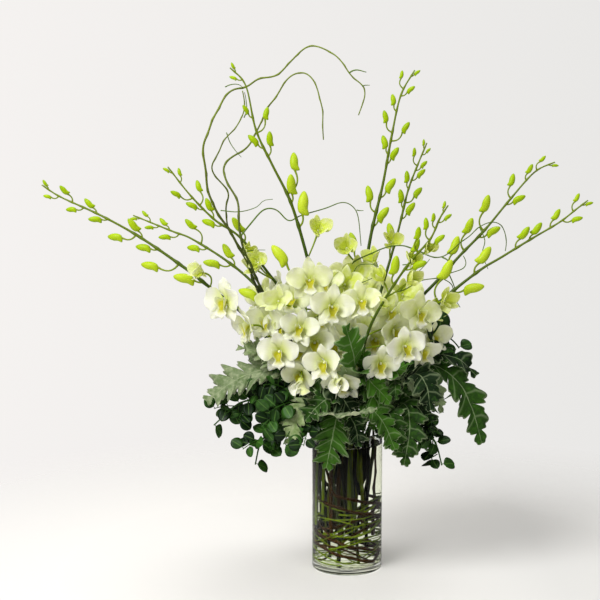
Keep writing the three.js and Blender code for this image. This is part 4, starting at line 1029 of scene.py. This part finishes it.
# Dusty miller: each stem's route and its leaves, the large ones first.
millers = [
    {
        "silver": True,
        "route": [[-64, -46, 288], [-45, -36, 246]],
        "place": ringPlace(outerRing, 12),
        "leaves": [
            lobedLeaf(
                62, [-58, -43, 276], [-102, -62, 304], [-153, -66, 292], [-200, -70, 260],
                lobes=7, notch=0.1,
            ),
            lobedLeaf(46, [-64, -46, 287], [-96, -58, 314], [-126, -62, 328], [-156, -64, 336], notch=0.1),
            lobedLeaf(36, [-45, -36, 247], [-62, -76, 258], [-76, -94, 236], [-86, -100, 206], notch=0.1),
            lobedLeaf(
                30, [-41, -34, 237], [-46, -92, 250], [-8, -120, 250], [36, -124, 260],
                face=[0, 0.1, 1], notch=0.1,
            ),
            lobedLeaf(40, [-34, -60, 260], [-55, -80, 261], [-68, -88, 245], [-72, -90, 218]),
        ],
    },
    {
        "silver": False,
        "route": [[-4, -54, 268], [-2, -44, 240]],
        "place": ringPlace(outerRing, 0),
        "leaves": [
            lobedLeaf(56, [-4, -54, 267], [6, -88, 292], [4, -118, 330], [-8, -134, 376], shade=0.1),
            lobedLeaf(50, [-3, -48, 250], [-16, -80, 242], [-24, -88, 210], [-32, -86, 168]),
            lobedLeaf(36, [-3, -49, 253], [24, -86, 256], [46, -104, 236], [62, -110, 200]),
            lobedLeaf(46, [-4, -50, 262], [-19, -84, 281], [-7, -94, 264], [3, -98, 248]),
            lobedLeaf(40, [-2, -48, 258], [17, -84, 296], [36, -96, 284], [55, -98, 264]),
            lobedLeaf(42, [-5, -46, 250], [-25, -88, 268], [-44, -100, 259], [-61, -104, 240]),
            lobedLeaf(34, [-4, -46, 242], [3, -86, 237], [9, -92, 224], [12, -94, 201]),
            lobedLeaf(46, [-3, -48, 254], [22, -76, 278], [36, -88, 266], [48, -92, 240]),
            lobedLeaf(42, [-3, -50, 262], [8, -70, 296], [18, -84, 308], [34, -92, 300]),
            lobedLeaf(42, [-4, -50, 260], [-20, -66, 290], [-36, -78, 296], [-56, -84, 280]),
        ],
    },
    {
        "silver": False,
        "route": [[66, -38, 268], [48, -24, 238]],
        "place": ringPlace(outerRing, 3),
        "leaves": [
            lobedLeaf(44, [64, -37, 264], [90, -84, 300], [104, -108, 290], [110, -116, 256]),
            lobedLeaf(
                50, [66, -38, 267], [112, -48, 306], [152, -54, 286], [174, -58, 246], [188, -62, 198],
                shade=0.5,
            ),
            lobedLeaf(44, [48, -24, 239], [78, -64, 254], [84, -86, 224], [76, -94, 174]),
            lobedLeaf(40, [64, -36, 262], [100, -44, 318], [150, -50, 318], [180, -52, 293]),
            lobedLeaf(34, [52, -28, 250], [54, -74, 296], [67, -84, 307], [86, -86, 318]),
            lobedLeaf(36, [56, -30, 250], [90, -50, 252], [107, -54, 233], [115, -56, 201]),
            lobedLeaf(44, [48, -24, 238], [54, -84, 247], [61, -94, 227], [67, -98, 194]),
        ],
    },
    {
        "silver": False,
        "route": [[28, 58, 262], [18, 42, 236]],
        "place": ringPlace(outerRing, 6),
        "leaves": [
            lobedLeaf(46, [28, 58, 261], [70, 90, 298], [112, 110, 284], [138, 120, 240]),
            lobedLeaf(44, [20, 45, 241], [26, 104, 280], [18, 140, 262], [12, 152, 212]),
            lobedLeaf(42, [24, 50, 250], [60, 70, 270], [84, 84, 250], [92, 92, 210]),
            lobedLeaf(40, [20, 46, 244], [50, 104, 250], [58, 118, 232], [62, 124, 190]),
            lobedLeaf(44, [26, 54, 256], [60, 40, 300], [90, 36, 310], [116, 34, 290]),
            lobedLeaf(42, [22, 48, 246], [70, 30, 268], [96, 24, 262], [116, 16, 226]),
            lobedLeaf(38, [22, 48, 250], [8, 90, 292], [-8, 112, 280], [-14, 122, 250]),
        ],
    },
    {
        "silver": False,
        "route": [[-28, 58, 262], [-18, 42, 236]],
        "place": ringPlace(outerRing, 8),
        "leaves": [
            lobedLeaf(46, [-28, 58, 261], [-64, 94, 296], [-104, 114, 276], [-130, 122, 232]),
            lobedLeaf(42, [-20, 45, 241], [-36, 94, 258], [-48, 118, 228], [-54, 122, 176]),
            lobedLeaf(42, [-24, 50, 250], [-64, 66, 268], [-90, 78, 246], [-98, 84, 204]),
            lobedLeaf(40, [-20, 46, 244], [-8, 96, 262], [-4, 116, 244], [-4, 124, 200]),
            lobedLeaf(44, [-26, 54, 256], [-56, 40, 300], [-86, 34, 312], [-112, 30, 292]),
            lobedLeaf(42, [-22, 48, 246], [-66, 30, 270], [-94, 26, 266], [-118, 20, 232]),
            lobedLeaf(38, [-24, 50, 254], [-60, 80, 300], [-88, 96, 300], [-110, 104, 284]),
        ],
    },
]

leafFace = np.array([0, -0.6, 0.8])  # the upper side of a leaf, for a viewer in front
millerStem = {"tip": 1.2, "foot": 2.1, "growth": 150, "knot": 0.2, "knotReach": 5}
millerLeaf = {
    "rows": 128,
    "columns": 12,
    "lobes": 5,
    "petiole": 0.16,  # the stalk's share of the midrib
    "stalk": 1.6,
    "notch": 0.24,  # the width between two lobes, against the lobes' width
    "fullness": 0.42,  # the power of the wave that rounds each lobe
    "teeth": 0.32,
    "uneven": 0.16,
    "spread": 0.15,  # how much wider a lobe is at its end than at its root, against the lobes' pitch
    "sweep": 0.72,  # how far a lobe leans forward, against the half width
    "fold": 0.44,
    "droop": 0.36,
    "ripple": 4.0,
    "thickness": 0.8,
}


# Dusty miller: leaves under a felt of fine white hairs, which is thin on the upper face and thick on the
# veins, the edges and the underside. The place's first mark counts the lobes.
def feltedLeaf(add, position, marks, top, deep, felt, thinnest, sheen):
    along, across, side, tint = marks
    mottle = add("TexNoise", {"Vector": position, "Scale": 1 / (7 * millimetre), "Detail": 5.0})
    hairs = add("TexNoise", {"Vector": position, "Scale": 1 / (0.6 * millimetre), "Detail": 4.0})
    inward = add("Math", [across], operation="ABSOLUTE")
    midrib = add("MapRange", [inward, 0.02, 0.055, 0.5, 0.0])
    phase = add("Math", [along], operation="FRACT")
    phase = add("Math", [phase, 0.5], operation="SUBTRACT")
    phase = add("Math", [phase], operation="ABSOLUTE")
    lateral = add("MapRange", [phase, 0.0, 0.07, 0.3, 0.0])
    veins = add("Math", [midrib, lateral], operation="MAXIMUM")
    stalk = add("MapRange", [along, 0.0, 0.35, 0.85, 0.0])
    edge = add("MapRange", [inward, 0.9, 1.0, 0.0, 0.9])
    under = add("MapRange", [side, -0.1, 0.1, 0.88, 0.0])
    patch = add("MapRange", [mottle, 0.4, 0.75, thinnest, thinnest + 0.5])
    white = veins
    for other in (stalk, edge, under, patch):
        white = add("Math", [white, other], operation="MAXIMUM")
    shade = add("Math", [tint, mottle], operation="MULTIPLY")
    shade = add("MapRange", [shade, 0.05, 0.4, 0.0, 1.0])
    colour = top
    for share, over in ((shade, deep), (white, felt), (inWater(add, position), "#344012")):
        colour = add("Mix", {0: share, 6: colour, 7: over}, 2, data_type="RGBA")
    normal = add("Bump", {"Strength": 0.5, "Distance": 0.25 * millimetre, "Height": hairs})
    raised = {"Strength": 0.5, "Distance": 0.5 * millimetre, "Height": veins, "Normal": normal}
    return {
        "Base Color": colour,
        "Roughness": 0.75,
        "Normal": add("Bump", raised),
        "Sheen Weight": sheen,
        "Sheen Roughness": 0.5,
        "Specular IOR Level": 0.2,
    }


# A dusty miller leaf: past its stalk the half width is a half wave along the leaf, cut in between the
# lobes by a raised cosine to a power. Each lobe has three teeth and a length of its own, and the
# lobes of the two sides alternate. The blade folds up from its midrib and droops at the lobes' ends.
def millerShape(leaf, index, grown=1.0):
    rib = leaf["rib"]
    curve = respaced(curveThrough(rib[0] + grown * (rib - rib[0])), millerLeaf["rows"])
    u, w, side = bladeGrid(millerLeaf["rows"], millerLeaf["columns"], 0, 1)
    count = leaf.get("lobes", millerLeaf["lobes"]) + 0.5
    s = ((u - millerLeaf["petiole"]) / (1 - millerLeaf["petiole"])).clip(0, 1)
    phase = count * s * (1.2 - 0.2 * s) + 0.17 * (2 * w).clip(-1, 1) * np.sin(np.pi * s)
    lobed = (0.5 - 0.5 * np.cos(2 * np.pi * phase)) ** millerLeaf["fullness"]
    lobed = lobed * (1 - millerLeaf["teeth"] * (1 - np.abs(np.sin(3 * np.pi * phase))))
    own = np.sin(2.4 * np.floor(phase) + 1.7 * index + 2 * np.sign(w))
    lobed = lobed * (1 + millerLeaf["uneven"] * own)
    envelope = np.sin(np.pi * (0.03 + 0.968 * s) ** 0.85) ** 0.5
    notch = leaf.get("notch", millerLeaf["notch"])
    cut = notch + (1 - notch) * lobed
    stalk = millerLeaf["stalk"] * (1 - 0.4 * s)
    half = np.maximum(stalk, grown * leaf["width"] / 2 * envelope * cut * 1.12 * (s > 0))
    lift = half * (millerLeaf["fold"] * np.abs(w) - millerLeaf["droop"] * w**2)
    lift = lift + millerLeaf["ripple"] * np.sin(2 * np.pi * phase + 1.4 * index + 2 * own) * w**2
    thickness = millerLeaf["thickness"] + 1.6 * np.exp(-((w / 0.1) ** 2)) * (1 - 0.75 * s)
    lift = lift + side * thickness / 2
    pitch = lengthsAlong(curve)[-1] * (1 - millerLeaf["petiole"]) / count
    spread = millerLeaf["spread"] * pitch * np.sin(2 * np.pi * phase) * w**2 * (s > 0) * (1 - s**4)
    shift = (millerLeaf["sweep"] * np.abs(w) ** 1.4 - 0.12) * half - spread
    tint = leaf.get("shade", 0.5 + 0.5 * np.sin(2.3 * index))
    outwards = np.array([0, np.sign(rib[-1, 1]) * 0.6, 0.8])  # the upper side, seen from outside
    face = unit(np.array(leaf.get("face", outwards), float))
    return blade(curve, face, w * half, lift, (phase, w, side, tint), shift)


smallLeaf = {"turn": 30, "rise": 12, "width": 0.9, "length": 0.6}


# A smaller leaf beside another: the same midrib, turned about its root and with its tip raised.
def turnedLeaf(leaf, degrees):
    angle = np.radians(degrees)
    rib = leaf["rib"]
    turn = np.array([[np.cos(angle), -np.sin(angle), 0], [np.sin(angle), np.cos(angle), 0], [0, 0, 1]])
    share = np.linspace(0, 1, len(rib))[:, None]
    moved = rib[0] + (rib - rib[0]) @ turn.T + share**2 * np.array([0, 0, smallLeaf["rise"]])
    return {**leaf, "rib": moved, "width": leaf["width"] * smallLeaf["width"]}


# A bunch: its stem and its leaves, each with a smaller one beside it.
def makeMiller(number, bunch, material):
    path = stemPath(bunch["route"], bunch["place"])
    shapes = [tube(path, stemRadius(path, millerStem, [6]), 9, tint=0.5)]
    for k, leaf in enumerate(bunch["leaves"]):
        shapes.append(millerShape(leaf, number * 3 + k))
        small = turnedLeaf(leaf, smallLeaf["turn"] * (-1) ** (number + k))
        shapes.append(millerShape(small, number * 5 + k, smallLeaf["length"]))
    makePiece(f"dusty_miller_{number}", shapes, material)


# The felt's values are the green above, its shaded parts, the hairs, where they are thinnest and the sheen.
thinFelt = "#3c6a10", "#0c2604", "#a2b486", -0.3, 0.03
thickFelt = "#5f7c34", "#3a5824", "#c0c8a0", 0.15, 0.12
greenFelt = makeMaterial("thinFeltedLeaf", feltedLeaf, *thinFelt)
silverFelt = makeMaterial("thickFeltedLeaf", feltedLeaf, *thickFelt)
for number, bunch in enumerate(millers, 1):
    makeMiller(number, bunch, silverFelt if bunch["silver"] else greenFelt)
print("dusty miller stems:", len(millers))

# Round leaves on sprigs that hang over the rim: a sprig's route, and twigs that stand before it, each as
# its root, the place that it's drawn towards, its tip and the size of its leaves.
sprigs = [
    {
        "route": [[-190, -72, 226], [-179, -70, 236], [-154, -64, 256], [-119, -56, 262], [-69, -32, 258]],
        "place": ringPlace(outerRing, 11),
        "twigs": [
            ([-70, -40, 256], [-96, -80, 292], [-120, -88, 286], 1.0),
            ([-60, -46, 250], [-84, -92, 270], [-112, -100, 250], 1.05),
            ([-64, -44, 246], [-96, -84, 256], [-122, -90, 228], 1.05),
        ],
    },
    {
        "route": [[-158, -12, 272], [-130, -10, 290], [-105, -8, 282], [-69, -4, 266]],
        "place": ringPlace(outerRing, 10),
        "twigs": [([-69, -10, 264], [-90, -50, 304], [-112, -60, 300], 1.0)],
    },
    {
        "route": [[-132, -74, 170], [-123, -70, 204], [-97, -64, 226], [-63, -54, 246], [-34, -44, 240]],
        "place": ringPlace(outerRing, 13),
        "twigs": [
            ([-50, -50, 244], [-76, -96, 244], [-92, -104, 206], 1.1),
            ([-44, -48, 242], [-56, -98, 240], [-64, -106, 204], 0.9),
        ],
    },
    {
        "route": [[160, -12, 326], [150, -8, 338], [130, -4, 346], [111, -2, 332], [75, -2, 300]],
        "place": ringPlace(outerRing, 4),
        "twigs": [
            ([100, -10, 326], [112, -40, 350], [128, -50, 352], 1.35),
            ([116, -14, 336], [130, -34, 342], [143, -46, 336], 1.25),
            ([84, -20, 306], [100, -60, 340], [118, -72, 346], 1.05),
        ],
    },
    {
        "route": [[132, -62, 166], [122, -58, 200], [100, -50, 222], [67, -36, 240], [46, -28, 236]],
        "place": ringPlace(outerRing, 2),
    },
    {
        "route": [[-24, 140, 206], [-14, 118, 240], [-2, 82, 258], [2, 52, 244]],
        "place": ringPlace(outerRing, 7),
    },
    {
        "route": [[146, 92, 226], [126, 84, 256], [92, 64, 270], [52, 40, 258]],
        "place": ringPlace(outerRing, 5),
    },
    {
        "route": [[-146, 84, 220], [-126, 76, 250], [-92, 60, 264], [-50, 40, 252]],
        "place": ringPlace(outerRing, 9),
    },
]

sprigStem = {"tip": 1.0, "foot": 1.9, "growth": 150, "knot": 0.25, "knotReach": 4, "bareBelow": 225}
roundLeaf = {
    "width": 25,
    "stalk": 5,
    "pitch": 13.5,
    "first": 34,
    "shrink": 0.25,
    "turn": 3.5,  # the angle from one leaf to the next, in radians
    "rows": 12,
    "columns": 6,
    "thickness": 0.7,
    "cup": 0.2,
    "partner": 0.88,  # the size of the second leaf of each pair
}
sideTwig = {"first": 40, "pitch": 23, "length": 36, "droop": 7, "pairs": (0.36, 0.7)}


# A small leathery leaf: dark above with a soft gloss and a pale midrib, duller and greyer below. In the
# vase's water it is painted near-black, as painted shade, and reflects less.
def leatheryLeaf(add, position, marks):
    _, across, side, tint = marks
    mottle = add("TexNoise", {"Vector": position, "Scale": 1 / (8 * millimetre), "Detail": 4.0})
    grain = add("TexNoise", {"Vector": position, "Scale": 1 / (1.2 * millimetre), "Detail": 3.0})
    inward = add("Math", [across], operation="ABSOLUTE")
    midrib = add("MapRange", [inward, 0.02, 0.1, 0.5, 0.0])
    under = add("MapRange", [side, -0.1, 0.1, 0.85, 0.0])
    shade = add("Math", [tint, mottle], operation="MULTIPLY")
    shade = add("MapRange", [shade, 0.1, 0.6, 0.0, 1.0])
    # Painted shade: in the vase's water the leaf is near-black; its gloss drops there too.
    belowMouth = inWater(add, position)
    colour = "#10290a"
    for share, over in ((shade, "#37641c"), (midrib, "#6b9440"), (under, "#44602c"), (belowMouth, "#0a0c04")):
        colour = add("Mix", {0: share, 6: colour, 7: over}, 2, data_type="RGBA")
    return {
        "Base Color": colour,
        "Roughness": add("MapRange", [mottle, 0.2, 0.8, 0.36, 0.55]),
        "Normal": add("Bump", {"Strength": 0.3, "Distance": 0.2 * millimetre, "Height": grain}),
        "Specular IOR Level": add("MapRange", [belowMouth, 0.0, 1.0, 0.25, 0.02]),
    }


# A round leaf: half width radius x sin(pi u)^0.52, gently cupped, on its own short stalk.
def roundLeafShapes(path, distance, index, size, partner, facing=leafFace):
    at, outward, side, depth = stemFrame(path, distance)
    angle = roundLeaf["turn"] * index + 2.4 * partner
    heading = side * np.cos(angle) - depth * np.sin(angle)
    heading = unit(0.97 * heading + (0.25 + 0.35 * partner) * outward)
    size = size * (1 - (1 - roundLeaf["partner"]) * partner)
    radius = size * roundLeaf["width"] / 2
    sway = np.sin([index + partner, 2.1 * index + 1, 1.3 * index])
    outwards = facing * [1, -1 if at[1] > 20 else 1, 1]
    face = unit(outwards + 0.3 * outward + 0.4 * sway)
    u, w, mark = bladeGrid(roundLeaf["rows"], roundLeaf["columns"], 0.004, 0.996)
    stalkEnd = at + heading * size * roundLeaf["stalk"]
    midrib = stalkEnd + u * heading * radius * 2.05 - face * radius * 0.16 * u**2
    half = radius * np.sin(np.pi * u) ** 0.52 * (1.04 - 0.1 * u)
    lift = roundLeaf["cup"] * w**2 * half + mark * roundLeaf["thickness"] / 2
    lift = lift + 0.05 * radius * np.sin(7 * u + index) * w
    tint = 0.5 + 0.5 * np.sin(1.9 * index + 3 * partner)
    leaf = blade(midrib, face, w * half, lift, (u, w, mark, tint))
    stalk = bowed(at, (at + stalkEnd) / 2 + face * 0.8, stalkEnd + heading * 1.2, 4)
    return [leaf, tube(stalk, 0.65 * size, 5, side=0.5, tint=0.9)]


# Pairs of leaves down a sprig or twig, growing larger from its tip, which has one leaf of its own.
def leafPairs(path, places, seed, grown=1.0, facing=leafFace):
    shapes = roundLeafShapes(path, 2, seed + 7, 0.8 * grown, 0, facing)
    for index, place in enumerate(places):
        size = 1 - roundLeaf["shrink"] * (1 - index / len(places))
        for partner in (0, 1):
            shapes += roundLeafShapes(path, place, seed + index, size * grown, partner, facing)
    return shapes


# A twig of a sprig: it leaves the sprig to a side, droops, and has a leaf at its tip.
def leafyTwig(path, distance, seed):
    at, outward, side, depth = stemFrame(path, distance)
    hand = (-1) ** seed
    heading = unit(0.75 * outward + hand * 0.6 * side + 0.55 * np.sin(1.7 * seed) * depth)
    t = np.linspace(1, 0, 22)[:, None]
    length = sideTwig["length"] * (0.85 + 0.2 * np.sin(2.9 * seed))
    twig = at + heading * length * t - np.array([0, 0, sideTwig["droop"]]) * t**2
    shapes = [tube(twig, 0.6 + 0.3 * (1 - t[:, 0]), 6, side=0.5, tint=0.9)]
    return shapes + leafPairs(twig, length * np.array(sideTwig["pairs"]), seed, 0.9)


# Leaves under water below the mouth, near-black with painted shade: the top, the turn about the upright,
# length and width.
drownedLeaves = [
    ([2, -14, 203], 10, 104, 13), ([9, -6, 203], 60, 92, 15), ([-6, -4, 203], -40, 96, 14),
    ([14, 8, 203], 25, 88, 14), ([-18, -10, 203], -15, 74, 11), ([4, 14, 203], 150, 98, 15),
    ([-14, 14, 203], 200, 84, 13), ([22, -12, 203], 80, 52, 9),
]


# A leaf that hangs down in the water: half width is a half wave, and it sways as it goes down.
def drownedLeaf(top, turn, length, width):
    u, w, side = bladeGrid(22, 12)
    face = np.array([np.sin(np.radians(turn)), -np.cos(np.radians(turn)), 0.1])
    sway = 4 * np.sin(4 * u + turn)
    midrib = top + u * np.array([0, 0, -length]) + sway * np.array([1, 0.3, 0]) * u
    half = width / 2 * np.sin(np.pi * (0.06 + 0.92 * u)) ** 0.5
    lift = 0.25 * w**2 * half + side * 0.4
    return blade(midrib, face, w * half, lift, (u, w, 1.0, 0.0))


# A sprig: its stem, pairs of leaves, its twigs and a leaf in the water.
def makeSprig(number, sprig, material):
    path = stemPath(sprig["route"], sprig["place"])
    outside = lengthsAlong(path)[np.nonzero(path[:, 2] > sprigStem["bareBelow"])[0][-1]]
    knots = np.arange(roundLeaf["first"], outside, roundLeaf["pitch"])
    shapes = [tube(path, stemRadius(path, sprigStem, knots), 8, side=0.5, tint=0.7)]
    shapes += leafPairs(path, knots, 0)
    twigs = np.arange(sideTwig["first"], outside - 30, sideTwig["pitch"])
    for k, distance in enumerate(twigs):
        shapes += leafyTwig(path, distance, number + k)
    for k, (root, middle, end, size) in enumerate(sprig.get("twigs", [])):
        twig = bowed(np.array(end), np.array(middle), np.array(root), 30)
        shapes.append(tube(twig, np.linspace(0.6, 1.1, 30), 6, side=0.5, tint=0.9))
        reach = lengthsAlong(twig)[-1] * 0.8
        places = np.arange(13 * size, reach, 12 * size)
        shapes += leafPairs(twig, places, 9 * number + k, size, np.array([0, -1, 0.3]))
    shapes.append(drownedLeaf(*drownedLeaves[number - 1]))
    makePiece(f"round_leaf_sprig_{number}", shapes, material)


darkLeaf = makeMaterial("leatheryRoundLeaf", leatheryLeaf)
for number, sprig in enumerate(sprigs, 1):
    makeSprig(number, sprig, darkLeaf)
print("round-leaf sprigs:", len(sprigs))

# The stage: a pale matt floor that fades into the pale surroundings, so that no horizon shows, soft lights
# and a camera two metres away and seven degrees above level.
stage = {
    "radius": 0.9,
    "clear": 0.42,  # the floor is whole up to this distance
    "floor": "#f1efeb",
    "paintedShadeRight": "#e2e1de",
    # the right side of the floor, painted darker as painted shade
    "left": "#f6f3f1",
    "right": "#e8e7e5",
    "fill": 0.58,
    "mirrored": 0.05,
}


# The floor is whole near the vase and fades to nothing further out. To the right it is painted darker, as
# painted shade.
def makeFloor():
    corners = roundAxis(stage["radius"], np.linspace(0, 2 * np.pi, 96, endpoint=False), -0.0002)
    mesh = bpy.data.meshes.new("floor")
    mesh.from_pydata(corners.tolist(), [], [list(range(96))])
    material, add = emptyMaterial("paleMattBoard")
    position = add("TexCoord", output="Object")
    reach = add("VectorMath", [position], "Value", operation="LENGTH")
    fade = add("MapRange", [reach, stage["clear"], stage["radius"], 0.0, 1.0])
    grain = add("TexNoise", {"Vector": position, "Scale": 1 / (2 * millimetre), "Detail": 3.0})
    sideways = add("SeparateXYZ", [position], 0)
    # Painted shade: the floor darkens towards the right.
    share = add("MapRange", [sideways, 0.08, 0.3, 0.0, 1.0])
    colour = add("Mix", {0: share, 6: stage["floor"], 7: stage["paintedShadeRight"]}, 2, data_type="RGBA")
    normal = add("Bump", {"Strength": 0.1, "Distance": 0.1 * millimetre, "Height": grain})
    board = add("BsdfPrincipled", {"Base Color": colour, "Roughness": 0.7, "Normal": normal})
    surface = add("MixShader", [fade, board, add("BsdfTransparent")])
    add("OutputMaterial", {"Surface": surface})
    mesh.materials.append(material)
    floor = bpy.data.objects.new("floor", mesh)
    bpy.context.scene.collection.objects.link(floor)


# The backdrop is pale, and lights the scene less than it shows, as one does that stands well back.
def makeSurroundings():
    world = bpy.data.worlds.new("paleRoom")
    world.use_nodes = True
    tree = world.node_tree
    add = partial(addNode, tree)
    direction = add("TexCoord", output="Generated")
    sideways = add("SeparateXYZ", [direction], 0)
    upward = add("SeparateXYZ", [direction], 2)
    share = add("MapRange", [sideways, -0.25, 0.25, 0.0, 1.0])
    colour = add("Mix", {0: share, 6: stage["left"], 7: stage["right"]}, 2, data_type="RGBA")
    seen = add("LightPath", output="Is Camera Ray")
    through = add("LightPath", output="Is Transmission Ray")
    mirrored = add("LightPath", output="Glossy Depth")
    scattered = add("LightPath", output="Diffuse Depth")
    above = add("Math", [upward, 0.0], operation="GREATER_THAN")
    direct = add("Math", [mirrored, 0.5], operation="LESS_THAN")
    clearWay = add("Math", [above, direct], operation="MAXIMUM")
    first = add("Math", [scattered, 0.5], operation="LESS_THAN")
    for other in (first, clearWay):
        through = add("Math", [through, other], operation="MULTIPLY")
    indirect = add("MapRange", [mirrored, 0.0, 1.0, stage["fill"], stage["mirrored"]])
    strength = seen
    for other in (through, indirect):
        strength = add("Math", [strength, other], operation="MAXIMUM")
    tree.links.new(colour, tree.nodes["Background"].inputs["Color"])
    tree.links.new(strength, tree.nodes["Background"].inputs["Strength"])
    bpy.context.scene.world = world
    bpy.context.scene.view_settings.view_transform = "Standard"


# Soft boxes: place and size in metres, power in watts.
softBoxes = {
    "key": {"place": (-1.4, -1.5, 2.2), "size": 1.5, "power": 66},
    "top": {"place": (0.4, 0.6, 2.3), "size": 1.4, "power": 16},
}


# A round soft box that faces the middle of the arrangement.
def makeLight(name, box):
    data = bpy.data.lights.new(name, "AREA")
    data.shape, data.size, data.energy = "DISK", box["size"], box["power"]
    light = bpy.data.objects.new(name, data)
    light.location = box["place"]
    towards = np.array([0, 0, 0.35]) - np.array(box["place"])
    light.rotation_euler[0] = np.arctan2(np.hypot(*towards[:2]), -towards[2])
    light.rotation_euler[2] = np.arctan2(towards[1], towards[0]) - np.pi / 2
    bpy.context.scene.collection.objects.link(light)


# The camera stands two metres away and looks down by seven degrees.
def makeCamera():
    data = bpy.data.cameras.new("camera")
    data.lens, data.sensor_width, data.sensor_fit = 83.9, 36, "HORIZONTAL"
    data.clip_end = 50
    camera = bpy.data.objects.new("camera", data)
    camera.location = (-0.069, -2.0, 0.64)
    camera.rotation_euler = (np.radians(83), 0, 0)
    bpy.context.scene.collection.objects.link(camera)
    bpy.context.scene.camera = camera


makeFloor()
makeSurroundings()
for name, box in softBoxes.items():
    makeLight(name, box)
makeCamera()
print("stage: floor, lights and camera")
